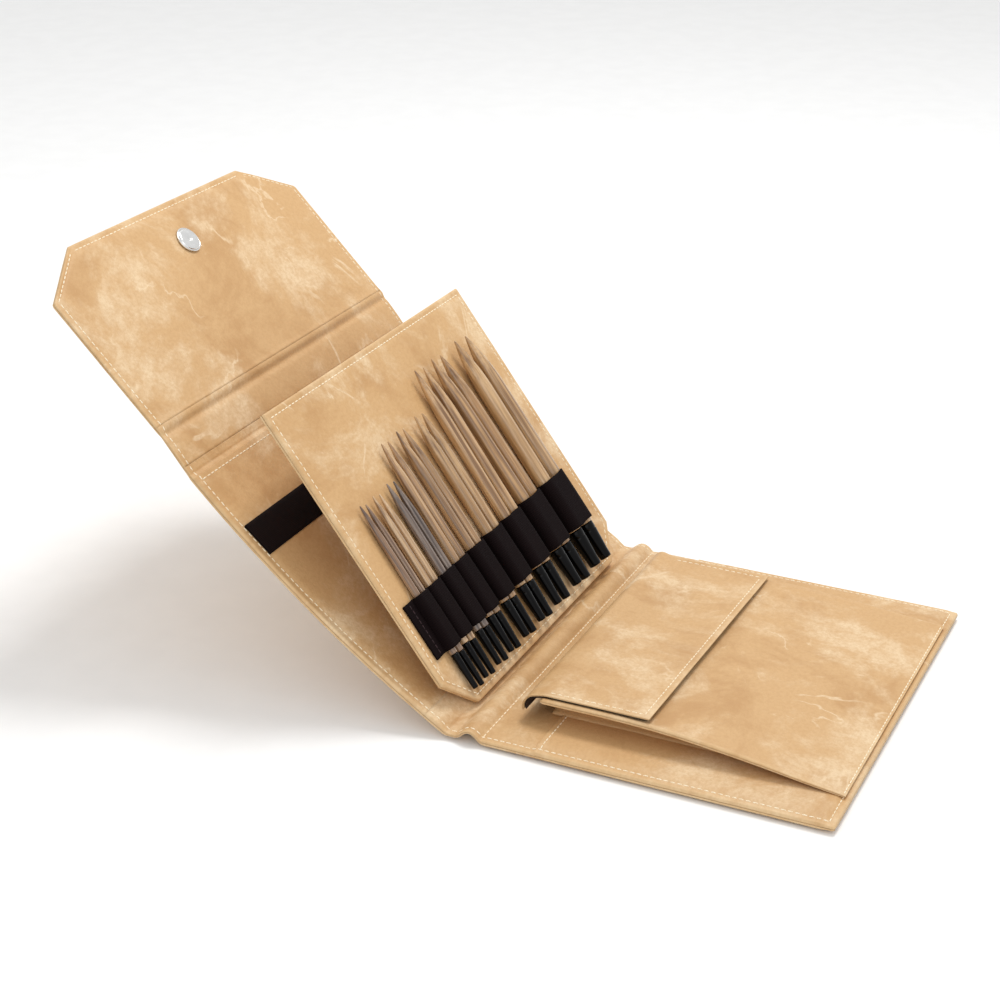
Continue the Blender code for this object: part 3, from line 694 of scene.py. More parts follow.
@dataclass
class Panel:
    """A flat or bent leather panel drawn along a path, with inner and outer faces.

    The path gives for each station its centre and its normal. A vertex is
    centre + x * X + normal * (+-half * rim share + extra), where extra is the panel's own
    relief: creases, a dent under each seam and a slow unevenness.
    """

    name: str
    centres: Array
    normals: Array
    stations: Array
    halves: Array
    widths: Array
    relief: Surface
    lift: Surface | None = None
    closed_ends: tuple[bool, bool] = (False, False)
    interior: int = 46
    rim: RolledRim = PLAIN_RIM
    lay_shift: float = 0.0
    finish: Finish = HIDE
    surface: dict = field(default_factory=dict)

    def end_shares(self) -> Array:
        """Shares of the height near a closed end, as in the rim."""
        d, share = self.rim.distances()
        total = np.ones(len(self.stations))
        if self.closed_ends[0]:
            total = total * np.interp(self.stations - self.stations[0], d[2:], share[2:])
        if self.closed_ends[1]:
            total = total * np.interp(self.stations[-1] - self.stations, d[2:], share[2:])
        return total

    def build(self) -> bpy.types.Object:
        """Work out the grid of both faces and make the mesh."""
        d, share = self.rim.distances()
        middle = np.linspace(-1, 1, self.interior + 2)[1:-1]
        reach = self.widths[:, None] - d[-1]
        left = -(self.widths[:, None] - d[None, :])
        x = np.hstack([left, middle[None] * reach, -left[:, ::-1]])
        rim = np.concatenate([share, np.ones(self.interior), share[::-1]])
        edge = self.widths[:, None] - np.abs(x)
        ends = self.end_shares()[:, None]
        s = self.stations[:, None]
        height = self.halves[:, None] * rim[None] * ends
        faces = []
        for face in Face:
            extra = self.relief(x, s, edge, face) * np.minimum(rim[None], ends)
            rise = face.value * height + extra
            if self.lift is not None:
                rise = rise + self.lift(x, s)
            place = self.centres[:, None] + rise[..., None] * self.normals[:, None]
            place[..., 0] = x
            faces.append(place)
        top, under = faces
        self.surface = {"x": x, "s": self.stations, "top": top, "under": under}
        ring = np.concatenate([top, under[:, -2:0:-1]], axis=1)
        x_ring = np.concatenate([x, x[:, -2:0:-1]], axis=1)
        side = np.concatenate([np.zeros_like(x), np.full_like(x[:, 1:-1], 0.4)], axis=1)
        rows, columns = ring.shape[:2]
        quads = grid_faces(rows, columns, True)
        count = x.shape[1]
        lids = []
        for row, flip in ((0, False), (rows - 1, True)):
            a = row * columns + np.arange(count - 1)
            back = (columns - np.arange(count)) % columns
            back[0], back[-1] = 0, count - 1
            b = row * columns + back
            strip = np.stack([a, b[:-1], b[1:], a + 1], 1)
            lids.append(strip[:, ::-1] if flip else strip)
        smooth = len(quads)
        quads = np.vstack([quads, *lids])
        quads = [[v for k, v in enumerate(q) if v not in q[:k]] for q in quads.tolist()]
        quads = np.array([q for q in quads if len(q) > 2], dtype=object)
        piece = new_piece(self.name, ring.reshape(-1, 3), quads)
        piece.data.polygons.foreach_set("use_smooth", np.arange(len(quads)) < smooth)
        lay = np.stack([x_ring, np.broadcast_to(s, x_ring.shape) + self.lay_shift, side], -1)
        give_vectors(piece, "lay", lay)
        near = np.minimum(self.widths[:, None] - np.abs(x_ring), self.to_end(s))
        give_values(piece, "rim", np.exp(-np.maximum(near, 0) / (1.1 * MM)))
        face_out(piece)
        piece.data.materials.append(self.finish.material())
        return piece

    def to_end(self, s: Array) -> Array:
        """Distance to the nearest closed end, or far when there is none."""
        far = np.full_like(s, 1.0)
        if self.closed_ends[0]:
            far = np.minimum(far, s - self.stations[0])
        if self.closed_ends[1]:
            far = np.minimum(far, self.stations[-1] - s)
        return far

    def seam(self, x: Array, s: Array, face: Face = Face.INNER) -> tuple[Array, Array]:
        """Points and normals of a seam on one face, from its plan places.

        Args:
            x: places along the hinge line.
            s: places along the path.
            face: the face that the seam lies on.
        Returns:
            The points on the surface and the normals there.
        """
        grid = self.surface["top" if face is Face.INNER else "under"]
        row = np.clip(np.searchsorted(self.stations, s) - 1, 0, len(self.stations) - 2)
        t = ((s - self.stations[row]) / (self.stations[row + 1] - self.stations[row]))[:, None]
        low = sample_rows(self.surface["x"][row], grid[row], x)
        high = sample_rows(self.surface["x"][row + 1], grid[row + 1], x)
        points = low * (1 - t) + high * t
        normal = np.stack([np.interp(s, self.stations, self.normals[:, k]) for k in range(3)], 1)
        return points, normal * face.value


def sample_rows(x_rows: Array, points: Array, x: Array) -> Array:
    """One point from each grid row; only the part between the rims is ordered.

    Args:
        x_rows: places along the hinge line, one row for each wanted point.
        points: the grid points of those rows.
        x: the wanted places, held inside the ordered part.
    Returns:
        The points, interpolated along each row.
    """
    x_rows, points = x_rows[:, 5:-5], points[:, 5:-5]
    column = np.clip((x_rows <= x[:, None]).sum(1) - 1, 0, x_rows.shape[1] - 2)
    k = np.arange(len(x))
    start, end = x_rows[k, column], x_rows[k, column + 1]
    share = np.clip((x - start) / (end - start), 0, 1)[:, None]
    return points[k, column] * (1 - share) + points[k, column + 1] * share


def face_out(piece: bpy.types.Object) -> None:
    """Merge doubles and turn the faces of a closed shell outwards."""
    bm = bmesh.new()
    bm.from_mesh(piece.data)
    bmesh.ops.remove_doubles(bm, verts=bm.verts, dist=1e-6)
    bmesh.ops.dissolve_degenerate(bm, edges=bm.edges, dist=1e-7)
    bmesh.ops.recalc_face_normals(bm, faces=bm.faces)
    bm.to_mesh(piece.data)
    bm.free()
    piece.data.update()


# ------------------------------------------------------------------ the folding case
@dataclass
class CasePath:
    """The middle line of the whole case from the front leaf's free end to the flap's edge.

    It runs straight under the front leaf, arches over the soft gutter, follows the bowed
    back leaf and the top strip, and runs straight up the flap. Its corners are rounded by
    averaging over a short window.
    """

    gutter_rise: float = 3.7 * MM
    gutter_share: float = 0.66
    back_bow: float = 4.4 * MM
    flap_length: float = 93.0 * MM
    step: float = 0.25 * MM
    window: float = 2.6 * MM
    halves: tuple = (2.0 * MM, 1.25 * MM, 2.0 * MM, 1.3 * MM, 1.8 * MM)

    def __post_init__(self) -> None:
        """Lay out the path, its marks and its normals."""
        low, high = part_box("front_cover")
        self.half_width = high.x
        start = np.array([low.y, joint_place("spine_hinge")[1]])
        corners = [start] + [
            joint_place(j) for j in ("spine_hinge", "leaf_hinge", "top_spine_hinge", "flap_crease")
        ]
        corners.append(corners[-1] + self.flap_length * node_slope("flap_lining"))
        bulges = (self.flat, self.gutter, self.bow, self.flat, self.flat)
        points, self.marks = [], [0.0]
        for a, b, bulge in zip(corners, corners[1:], bulges):
            length = float(np.linalg.norm(b - a))
            t = np.linspace(0, 1, max(int(length / self.step), 2))[:, None]
            along = (b - a) / length
            across = np.array([-along[1], along[0]])
            points.append(a + t * (b - a) + bulge(t) * across)
            self.marks.append(self.marks[-1] + self.length_of(points[-1]))
        line = np.vstack([points[0]] + [p[1:] for p in points[1:]])
        steps = np.linalg.norm(np.diff(line, axis=0), axis=1)
        s = np.concatenate([[0.0], np.cumsum(steps)])
        self.s = np.arange(0.0, s[-1], self.step)
        line = np.stack([np.interp(self.s, s, line[:, k]) for k in range(2)], 1)
        self.line = np.stack([self.averaged(line[:, k]) for k in range(2)], 1)
        slope = unit(np.gradient(self.line, axis=0))
        self.normal = np.stack([-slope[:, 1], slope[:, 0]], 1)
        marks = np.array(self.marks)
        zone = np.clip(np.searchsorted(marks, self.s, side="right") - 1, 0, 4)
        self.half = self.averaged(np.array(self.halves)[zone])

    def flat(self, t: Array) -> Array:
        """No bulge."""
        return 0 * t

    def gutter(self, t: Array) -> Array:
        """Half a sine wave over the first share of the gutter."""
        return self.gutter_rise * np.sin(math.pi * np.minimum(t / self.gutter_share, 1.0))

    def bow(self, t: Array) -> Array:
        """A parabola below the chord."""
        return -4 * self.back_bow * t * (1 - t)

    def length_of(self, points: Array) -> float:
        """Length of a polyline."""
        return float(np.linalg.norm(np.diff(points, axis=0), axis=1).sum())

    def averaged(self, values: Array) -> Array:
        """Values averaged with a raised-cosine window, with straight ends kept."""
        count = int(self.window / self.step)
        weights = np.hanning(2 * count + 3)
        weights /= weights.sum()
        pad = count + 1
        before = 2 * values[0] - values[pad:0:-1]
        after = 2 * values[-1] - values[-2 : -pad - 2 : -1]
        return np.convolve(np.concatenate([before, values, after]), weights, mode="valid")

    def at(self, s: Array) -> tuple[Array, Array, Array]:
        """Centres, normals and half thicknesses at stations s."""
        y, z = (np.interp(s, self.s, self.line[:, k]) for k in range(2))
        ny, nz = (np.interp(s, self.s, self.normal[:, k]) for k in range(2))
        zero = np.zeros_like(s)
        centres, normals = np.stack([zero, y, z], 1), unit(np.stack([zero, ny, nz], 1))
        return centres, normals, np.interp(s, self.s, self.half)

    def point(self, s: float) -> Array:
        """One point of the middle line in the frame."""
        return self.at(np.array([s]))[0][0]


@dataclass
class FoldingCase:
    """The five leather panels of the case with their seams; each of the first four reaches across one hinge.
    """

    path: CasePath
    seam_inset: float = 3.0 * MM
    seam_dent: float = 0.22 * MM
    crease_depth: float = 0.75 * MM
    lining_edge: float = 130.0 * MM  # folded edge of the front leaf's lining
    lining_step: float = 0.8 * MM
    back_lining_drop: float = 1.9 * MM  # lining's top edge below the top crease
    flap_cut: tuple = (32.5 * MM, 20.5 * MM)
    bend_reach: float = 3.5 * MM
    join_reach: float = 4.2 * MM  # a panel ends this far past its crease
    creases: tuple = ((3, 0.7, 0.6), (4, 1.5, 1.2), (1, 0.5, 0.9), (2, 0.4, 0.9))  # mark, depth, width in mm

    def stations(self, start: float, end: float, closed: tuple[bool, bool]) -> Array:
        """Stations about 1.2 mm apart, closer at creases, seams and closed ends."""
        s = [np.arange(start, end, 1.2 * MM), [start, end]]
        if closed[0]:
            s.append(start + CLOSE_STEPS)
        if closed[1]:
            s.append(end - CLOSE_STEPS)
        for mark in self.path.marks[1:5]:
            s.append(mark + np.arange(-4.0, 4.2, 0.5) * MM)
        for edge in (self.lining_edge, self.back_lining_edge()):
            s.append(edge + np.arange(-1.2, 1.3, 0.2) * MM)
        every = np.concatenate(s)
        every = np.round(every[(every > start) & (every < end)], 6)
        return np.unique(np.clip(np.concatenate([every, [start, end]]), start, end))

    def back_lining_edge(self) -> float:
        """Station of the back lining's folded top edge."""
        return self.path.marks[3] - self.back_lining_drop

    def half_widths(self, s: Array) -> Array:
        """Half widths: square corners at the front, cut corners at the flap's end."""
        across, along = self.flap_cut
        cut = np.clip((s - (self.path.s[-1] - along)) / along, 0, 1) * across
        round_front = np.clip(1.2 * MM - s, 0, None) ** 2 / (2.4 * MM)
        return self.path.half_width - cut - round_front

    def relief(self, seed: float) -> Surface:
        """The relief function of a panel: creases, lining steps, seam dents, unevenness."""

        def shape(x: Array, s: Array, edge: Array, face: Face) -> Array:
            """Extra height at x and s; edge is the distance to the side."""
            marks = self.path.marks
            end = self.path.s[-1] - s
            seam = np.minimum(np.minimum(edge, s), end)
            rise = -self.seam_dent * bell(seam, self.seam_inset, 0.75 * MM) * face.value
            rise = rise + 0.16 * MM * ripple(x, s, seed)
            for number, depth, wide in self.creases:
                mark = marks[number]
                press = self.crease_depth * depth * bell(s, mark, wide * MM)
                rise = rise - (press if face is Face.INNER else -0.35 * press)
            if face is Face.INNER:
                front = 1 - ramp(s, self.lining_edge - 0.25 * MM, self.lining_edge + 0.25 * MM)
                folded = bell(s, self.lining_edge - 1.0 * MM, 0.7 * MM) * 0.15 * MM
                rise = rise + (front * self.lining_step + folded) * (s < marks[1])
                top = self.back_lining_edge()
                back = 1 - ramp(s, top - 0.25 * MM, top + 0.25 * MM)
                back = back * ramp(s, marks[2] + 2 * MM, marks[2] + 6 * MM)
                rise = rise + back * self.lining_step
                puff = bell(s, (marks[3] + marks[4]) / 2, 4.5 * MM) * 0.6
                puff = puff + bell(s, marks[4] + 3.4 * MM, 1.5 * MM)
                rise = rise + puff * 0.5 * MM
            return rise

        return shape

    def panel(self, name: str, start: float, end: float, closed: tuple[bool, bool], seed: float) -> Panel:
        """One panel of the case between two stations."""
        s = self.stations(start, end, closed)
        centres, normals, halves = self.path.at(s)
        widths = self.half_widths(s)
        shape = self.relief(seed)
        return Panel(name, centres, normals, s, halves, widths, shape, closed_ends=closed, rim=BOARD_RIM)

    def side_seam(self, panel: Panel, side: Side, start: float, end: float) -> tuple[Array, Array]:
        """A seam along one side of a panel."""
        s = np.arange(start, end, 1.0 * MM)
        x = side.value * (self.half_widths(s) - self.seam_inset)
        return panel.seam(x, s)

    def cross_seam(self, panel: Panel, s: float, reach: float, face: Face = Face.INNER) -> tuple[Array, Array]:
        """A seam straight across a panel."""
        x = np.arange(-reach, reach, 2.0 * MM)
        return panel.seam(x, np.full(len(x), s), face)

    def build(self) -> None:
        """Make the five panels and their seams; the flap's skin is attached to its body, the others stay fixed
        in the frame.
        """
        marks, end = self.path.marks, self.path.s[-1]
        gutter_middle = (marks[1] + marks[2]) / 2 + 1.0 * MM
        strip_start, flap_start = marks[3] + self.join_reach, marks[4] + self.join_reach
        seed = 0.7
        plan = (
            ("front_skin", 0.0, gutter_middle, (True, False), "case_front", "spine", marks[1]),
            ("gutter_skin", gutter_middle, marks[2] + 12 * MM, (False, False), "spine", "back", marks[2]),
            ("back_skin", marks[2] + 12 * MM, strip_start, (False, False), "back", "top_strip", marks[3]),
            ("top_strip_skin", strip_start, flap_start, (False, False), "top_strip", "flap", marks[4]),
            ("flap_skin", flap_start, end, (False, True), "flap", None, None),
        )
        stands_for = {
            "front_skin": ("front_cover", "front_lining"),
            "gutter_skin": ("spine_cover", "spine_lining"),
            "back_skin": ("back_cover", "back_lining"),
            "top_strip_skin": ("top_spine",),
            "flap_skin": ("flap_cover", "flap_lining"),
        }
        for name, low, high, closed, body, other, hinge in plan:
            panel = self.panel(name, low, high, closed, seed)
            skin = panel.build()
            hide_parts(*stands_for[name])
            seams = thread_stitches(f"{name}_stitches", self.seams_of(name, panel, low, high), THREAD)
            for piece in (skin, seams):
                if other is None:
                    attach(piece, body)
                else:
                    before = self.path.point(hinge - self.bend_reach)
                    after = self.path.point(hinge + self.bend_reach)
                    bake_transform(piece)
            LOG.info("%s: %d faces, %d stitch faces", name, len(skin.data.polygons), len(seams.data.polygons))

    def seams_of(self, name: str, panel: Panel, low: float, high: float) -> list:
        """Every seam of one panel."""
        inset, half = self.seam_inset, self.path.half_width
        lines = []
        if name == "front_skin":
            low = inset
            lines.append(self.cross_seam(panel, inset, half - inset))
            lines.append(self.cross_seam(panel, self.path.marks[1], half - inset))
            fold = self.lining_edge - 2.4 * MM
            lines.append(self.cross_seam(panel, fold, half - inset))
        if name == "back_skin":
            lines.append(self.cross_seam(panel, self.back_lining_edge() - 2.6 * MM, half - inset))
        if name == "flap_skin":
            across, along = self.flap_cut
            corner = high - along
            for side in Side:
                s = np.arange(low, corner - 1 * MM, 1.0 * MM)
                lines.append(panel.seam(np.full(len(s), side.value * (half - inset)), s))
                lean = math.atan2(across, along)
                t = np.linspace(0.02, 0.98, 40)
                shift = inset / math.cos(lean)
                s = corner - 1 * MM + (along - inset + 1 * MM) * t
                edge = half - across * np.clip((s - corner) / along, 0, 1) - shift * 0.55
                lines.append(panel.seam(side.value * np.minimum(edge, half - inset), s))
            lines.append(self.cross_seam(panel, high - inset, half - across - 1 * MM))
            return lines
        for side in Side:
            lines.append(self.side_seam(panel, side, low, high))
        return lines


# ------------------------------------------------------------------ dark fastening strip
@dataclass
class FasteningStrip:
    """The dark woven tape sewn across the back leaf's lining, with a bar tack."""

    path: CasePath
    thickness: float = 0.9 * MM
    tack_from_near: float = 51.0 * MM

    def build(self) -> None:
        """Lay the tape over the lining and dress it."""
        low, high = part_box("back_strip")
        y = np.interp([low.y + 0.4 * MM, high.y - 0.4 * MM], self.path.line[:, 0], self.path.s)
        s = np.linspace(y[0], y[1], 15)
        x = np.linspace(low.x, high.x, 90)
        centres, normals, halves = self.path.at(s)
        lift = halves[:, None] + 0.75 * MM + 0.16 * MM * ripple(x[None], s[:, None], 0.7)
        sunk = np.minimum(np.minimum(x - low.x, high.x - x)[None], np.minimum(s - s[0], s[-1] - s)[:, None])
        lift = lift + self.thickness * (0.45 + 0.55 * ramp(sunk, 0.0, 1.2 * MM))
        top = centres[:, None] + lift[..., None] * normals[:, None]
        top[..., 0] = x[None]
        piece = new_piece("back_fastening_tape", top, grid_faces(len(s), len(x), False))
        lay = np.stack(np.broadcast_arrays(x[None], s[:, None], 0.0), -1)
        give_vectors(piece, "lay", lay)
        thick(piece, 1.0 * MM, -1.0)
        piece.data.materials.append(FASTENER.material())
        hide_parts("back_strip")
        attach(piece, "back")
        tack_x = low.x + self.tack_from_near
        lines = []
        for shift in (-0.5 * MM, 0.5 * MM):
            t = np.linspace(s[0] + 1 * MM, s[-1] - 1 * MM, 30)
            c, n, h = self.path.at(t)
            place = c + (h + 0.95 * MM + self.thickness)[:, None] * n
            place[:, 0] = tack_x + shift
            lines.append((place, n))
        shades = linear(190, 150, 105), linear(120, 90, 60)
        tack = ThreadFinish("tan_thread", *shades, 1.3 * MM, 0.7 * MM, 1.1 * MM)
        stitches = thread_stitches("bar_tack", lines, tack)
        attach(stitches, "back")
        LOG.info("fastening tape on the back leaf")


def thick(piece: bpy.types.Object, depth: float, offset: float) -> None:
    """Give an open sheet its thickness with a live Solidify."""
    mod = piece.modifiers.new("thickness", "SOLIDIFY")
    mod.thickness = depth
    mod.offset = offset


# ------------------------------------------------------------------ the pocket
@dataclass
class Pocket:
    """The raised sheet, its folded side walls and the flap over its mouth."""

    base: float = 0.0043
    thickness: float = 1.5 * MM
    rise: float = 8.0 * MM
    lopsided: float = 0.30  # near side stands this share higher, the far side lower
    lift_end: float = 0.78
    flap_skin: float = 1.5 * MM
    fold_radius: float = 5.1 * MM
    seam_inset: float = 3.0 * MM

    def __post_init__(self) -> None:
        """Read the pocket's sizes from the frame."""
        low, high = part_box("pocket_sheet")
        self.half = high.x
        self.start, self.mouth = low.y, high.y
        self.depth = self.mouth - self.start
        cover_low, cover_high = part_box("pocket_flap")
        self.cover_half = cover_high.x
        self.cover_edge = cover_low.y
        self.cover_hinge = joint_place("pocket_flap_hinge")

    def height(self, x: Array, y: Array) -> Array:
        """Height of the sheet's underside above the lining at x and distance y inwards."""
        share = np.minimum(y / (self.lift_end * self.depth), 1.0)
        lift = self.rise * np.sin(share * math.pi / 2) ** 1.15
        return lift * (1 - self.lopsided * x / self.half)

    def sheet(self) -> None:
        """The raised sheet: a panel along Y whose sides are rolled hems."""
        hem = PLAIN_RIM.distances()[0]
        y = np.unique(np.concatenate([np.arange(0, self.depth, 1.6 * MM), [self.depth], hem]))
        s = y[y <= self.depth]
        zero = np.zeros_like(s)
        centres = np.stack([zero, self.start + s, zero + self.base + self.thickness / 2], 1)
        normals = np.broadcast_to([0.0, 0.0, 1.0], centres.shape).copy()
        low_end = ramp(s, -0.5 * MM, 1.0 * MM) * 0.6 + 0.4

        def shape(x: Array, along: Array, edge: Array, face: Face) -> Array:
            """A hem roll at the sides and a dent at the sewn end."""
            hem = 0.65 * MM * bell(edge, 1.3 * MM, 0.8 * MM) * face.value * ramp(along, 8 * MM, 60 * MM)
            return hem - 0.3 * MM * bell(along, self.seam_inset - 2 * MM, 0.7 * MM) * (face is Face.INNER)

        def lift(x: Array, along: Array) -> Array:
            """The sheet's rise towards its mouth, sagging in the middle, with slow waves."""
            across = np.cos(np.clip(x / self.half, -1, 1) * math.pi / 2)
            sag = -0.5 * MM * across * ramp(along, 20 * MM, 90 * MM)
            slow = 0.22 * MM * ripple(x, along, 2.3) * ramp(along, 6 * MM, 30 * MM)
            return self.height(x, along) + sag + slow

        halves = np.full(len(s), self.thickness / 2) * low_end
        widths = np.full(len(s), self.half)
        panel = Panel("pocket_front", centres, normals, s, halves, widths, shape, lift, (True, True))
        panel.lay_shift = 0.9
        piece = panel.build()
        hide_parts("pocket_sheet")
        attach(piece, "pocket")
        x = np.arange(-self.half + 1 * MM, self.half - 1 * MM, 2 * MM)
        end_seam = panel.seam(x, np.full(len(x), self.seam_inset - 2 * MM))
        stitches = thread_stitches("pocket_front_stitches", [end_seam], THREAD)
        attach(stitches, "pocket")
        LOG.info("pocket sheet: %d faces", len(piece.data.polygons))

    def gusset(self, side: Side) -> None:
        """A side wall folded inwards like a bellows: a rounded V from lining to sheet."""
        y = np.linspace(0.12 * self.depth, self.depth - 1.5 * MM, 60)
        t = np.linspace(0, 1, 17)
        edge = self.half - 1.6 * MM
        lift = self.height(np.array(side.value * edge), y)
        inward = np.minimum(1.0, lift / (6 * MM))[:, None]
        fold = np.sin(math.pi * t)
        x = side.value * (edge - inward * (9 * MM * fold[None] ** 0.8 + 9 * MM * (1 - t[None])))
        z = self.base + 0.3 * MM + t[None] * (self.height(x, y[:, None]) - 0.5 * MM)
        z = z + 0.25 * MM * ripple(x, y[:, None], 4.0) * fold[None]
        points = np.stack(np.broadcast_arrays(x, self.start + y[:, None], z), -1)
        node = f"pocket_gusset_{side.name.lower()}"
        piece = new_piece(f"{node}_wall", points, grid_faces(len(y), len(t), False))
        give_vectors(piece, "lay", np.stack(np.broadcast_arrays(z * 3, y[:, None], 0.7 + 0 * x), -1))
        give_values(piece, "rim", np.zeros(points.shape[:2]))
        thick(piece, 0.7 * MM, 0.0)
        piece.data.materials.append(HIDE.material())
        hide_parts(node)
        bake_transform(piece)

    def cover(self) -> None:
        """The flap over the mouth: a round fold, then a leg that lies on the sheet."""
        for name, radius, skin, inset, finish in (
            ("pocket_flap_skin", self.fold_radius, self.flap_skin * 0.62, 0.0, HIDE),
            ("pocket_flap_inside", self.fold_radius - 1.0 * MM, 0.7 * MM, 1.0 * MM, LINING),
        ):
            turn = np.radians(np.linspace(-24 if inset else -20, 90, 24))
            arc = np.stack([radius * np.cos(turn), radius * np.sin(turn)], 1)
            length = self.cover_hinge[0] - self.cover_edge - inset - 0.2 * MM
            hem = length - PLAIN_RIM.distances()[0][::-1]
            leg_y = -np.concatenate([np.arange(1.5, length / MM - 4, 1.5) * MM, hem])
            leg_y = np.unique(leg_y)[::-1]
            leg = np.stack([leg_y, np.full(len(leg_y), radius)], 1)
            line = np.vstack([arc, leg])
            steps = np.linalg.norm(np.diff(line, axis=0), axis=1)
            s = np.concatenate([[0.0], np.cumsum(steps)])
            slope = unit(np.gradient(line, s, axis=0))
            normal = np.stack([slope[:, 1], -slope[:, 0]], 1)
            zero = np.zeros(len(s))
            centres = np.stack([zero, *(line + self.cover_hinge).T], 1)
            normals = np.stack([zero, *normal.T], 1)
            half = self.cover_half - inset

            def shape(x: Array, along: Array, edge: Array, face: Face) -> Array:
                """Dents under the seams."""
                seam = np.minimum(edge, s[-1] - along)
                return -0.25 * MM * bell(seam, self.seam_inset, 0.7 * MM) * face.value

            def lift(x: Array, along: Array) -> Array:
                """Follows the lopsided sheet below, with a slow unevenness."""
                tilt = -self.lopsided * self.rise * x / self.half * ramp(along, 4 * MM, 16 * MM)
                return tilt + 0.14 * MM * ripple(x, along, 5.2)

            thin, wide = np.full(len(s), skin / 2), np.full(len(s), half)
            panel = Panel(name, centres, normals, s, thin, wide, shape, lift, (True, True))
            panel.finish = finish
            panel.lay_shift = 1.7
            piece = panel.build()
            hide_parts("pocket_flap" if finish is HIDE else "pocket_flap_lining")
            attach(piece, "pocket_cover")
            if finish is HIDE:
                x = np.arange(-half + self.seam_inset, half - self.seam_inset, 2 * MM)
                lines = [panel.seam(x, np.full(len(x), s[-1] - self.seam_inset))]
                along = np.arange(16 * MM, s[-1] - self.seam_inset, 1 * MM)
                for side in Side:
                    x = np.full(len(along), side.value * (half - self.seam_inset))
                    lines.append(panel.seam(x, along))
                stitches = thread_stitches("pocket_flap_stitches", lines, THREAD)
                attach(stitches, "pocket_cover")

    def build(self) -> None:
        """Make the sheet, both walls and the flap."""
        self.sheet()
        for side in Side:
            self.gusset(side)
        self.cover()
        LOG.info("pocket done")


# ------------------------------------------------------------------ the needle page
@dataclass
class PageFrame:
    """The page's own frame: a foot point, uphill and outward directions."""

    def __post_init__(self) -> None:
        """Read the page's place and slope from the frame."""
        axis = slide_axis("slide_1a")
        self.up = unit(np.array([0.0, axis[1], axis[2]]))
        self.out = np.array([0.0, -self.up[2], self.up[1]])
        self.foot = np.array([0.0, *joint_place("page_hinge")])

    def place(self, x: Array, v: Array, h: Array) -> Array:
        """Frame points at x, distance v up the page, height h above its middle."""
        x, v, h = np.broadcast_arrays(x, v, h)
        points = self.foot + v[..., None] * self.up + h[..., None] * self.out
        points[..., 0] = x
        return points


@dataclass
class NeedlePage:
    """The stiff page that holds the tips: skin, seams and the soft strip at its foot."""

    page: PageFrame
    thickness: float = 3.0 * MM
    foot_start: float = 1.3 * MM
    foot_cut: float = 16.5 * MM
    seam_inset: float = 3.0 * MM

    def __post_init__(self) -> None:
        """Read the page's width and length from the frame."""
        points = node_points("page_face") - self.page.foot
        self.half = float(points[:, 0].max())
        self.length = float((points @ self.page.up).max())

    def half_widths(self, v: Array) -> Array:
        """Half widths with the two foot corners cut off."""
        left = self.foot_cut - (v - self.foot_start)
        return self.half - np.clip(left, 0, None)

    def relief(self, x: Array, v: Array, edge: Array, face: Face) -> Array:
        """Seam dents and a slow unevenness."""
        seam = np.minimum(np.minimum(edge, v - self.foot_start), self.length - v)
        rise = -0.25 * MM * bell(seam, self.seam_inset, 0.7 * MM) * face.value
        return rise + 0.10 * MM * ripple(x, v, 7.1)

    def build(self) -> None:
        """Make the page's skin, its seams and the strip at its foot."""
        v = [np.arange(self.foot_start, self.length, 1.5 * MM), self.foot_start + CLOSE_STEPS]
        v.append(self.length - CLOSE_STEPS)
        v = np.unique(np.round(np.concatenate(v), 6))
        zero = np.zeros_like(v)
        centres = self.page.place(zero, v, zero)
        normals = np.broadcast_to(self.page.out, centres.shape).copy()
        halves = np.full(len(v), self.thickness / 2)
        widths = self.half_widths(v)
        panel = Panel("page_skin", centres, normals, v, halves, widths, self.relief)
        panel.closed_ends, panel.lay_shift = (True, True), 2.6
        skin = panel.build()
        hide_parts("page_cover", "page_face")
        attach(skin, "page")
        stitches = thread_stitches("page_skin_stitches", self.seams(panel), THREAD)
        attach(stitches, "page")
        self.foot_strip()
        LOG.info("page: %d faces", len(skin.data.polygons))

    def seams(self, panel: Panel) -> list:
        """Seams round the page's outline."""
        inset, cut = self.seam_inset, self.foot_cut
        low, high = self.foot_start + inset, self.length - inset
        lines = []
        x = np.arange(-self.half + inset, self.half - inset, 2 * MM)
        lines.append(panel.seam(x, np.full(len(x), high)))
        reach = self.half - cut
        x = np.arange(-reach, reach, 2 * MM)
        lines.append(panel.seam(x, np.full(len(x), low)))
        for side in Side:
            v = np.arange(self.foot_start + cut + 1 * MM, high, 1 * MM)
            lines.append(panel.seam(np.full(len(v), side.value * (self.half - inset)), v))
            v = np.linspace(low, self.foot_start + cut + 1 * MM, 20)
            x = self.half_widths(v) - inset * 1.41
            lines.append(panel.seam(side.value * np.minimum(x, self.half - inset), v))
        return lines

    def foot_strip(self) -> None:
        """The soft hinge: a narrow strip from the back leaf's lining up to the page's foot."""
        leaf = joint_place("leaf_hinge")
        slope = unit(joint_place("top_spine_hinge") - leaf)
        normal = np.array([-slope[1], slope[0]])
        root = leaf + slope * 4.5 * MM + normal * 1.6 * MM
        top = self.page.place(np.array(0.0), np.array(self.foot_start + 1.0 * MM), np.array(0.0))[1:]
        t = np.linspace(0, 1, 12)[:, None]
        bend = self.page.foot[1:] + np.array([1.2 * MM, -0.6 * MM])
        line = (1 - t) ** 2 * root + 2 * t * (1 - t) * bend + t**2 * top
        reach = self.half - self.foot_cut - 1.0 * MM
        x = np.linspace(-reach, reach, 60)
        points = np.empty((len(t), len(x), 3))
        points[..., 0] = x[None]
        points[..., 1:] = line[:, None]
        piece = new_piece("page_hinge_strip", points, grid_faces(len(t), len(x), False))
        give_vectors(piece, "lay", points * np.array([1.0, 3.0, 3.0]))
        give_values(piece, "rim", np.zeros(points.shape[:2]))
        thick(piece, 0.8 * MM, 0.0)
        piece.data.materials.append(HIDE.material())
        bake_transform(piece)


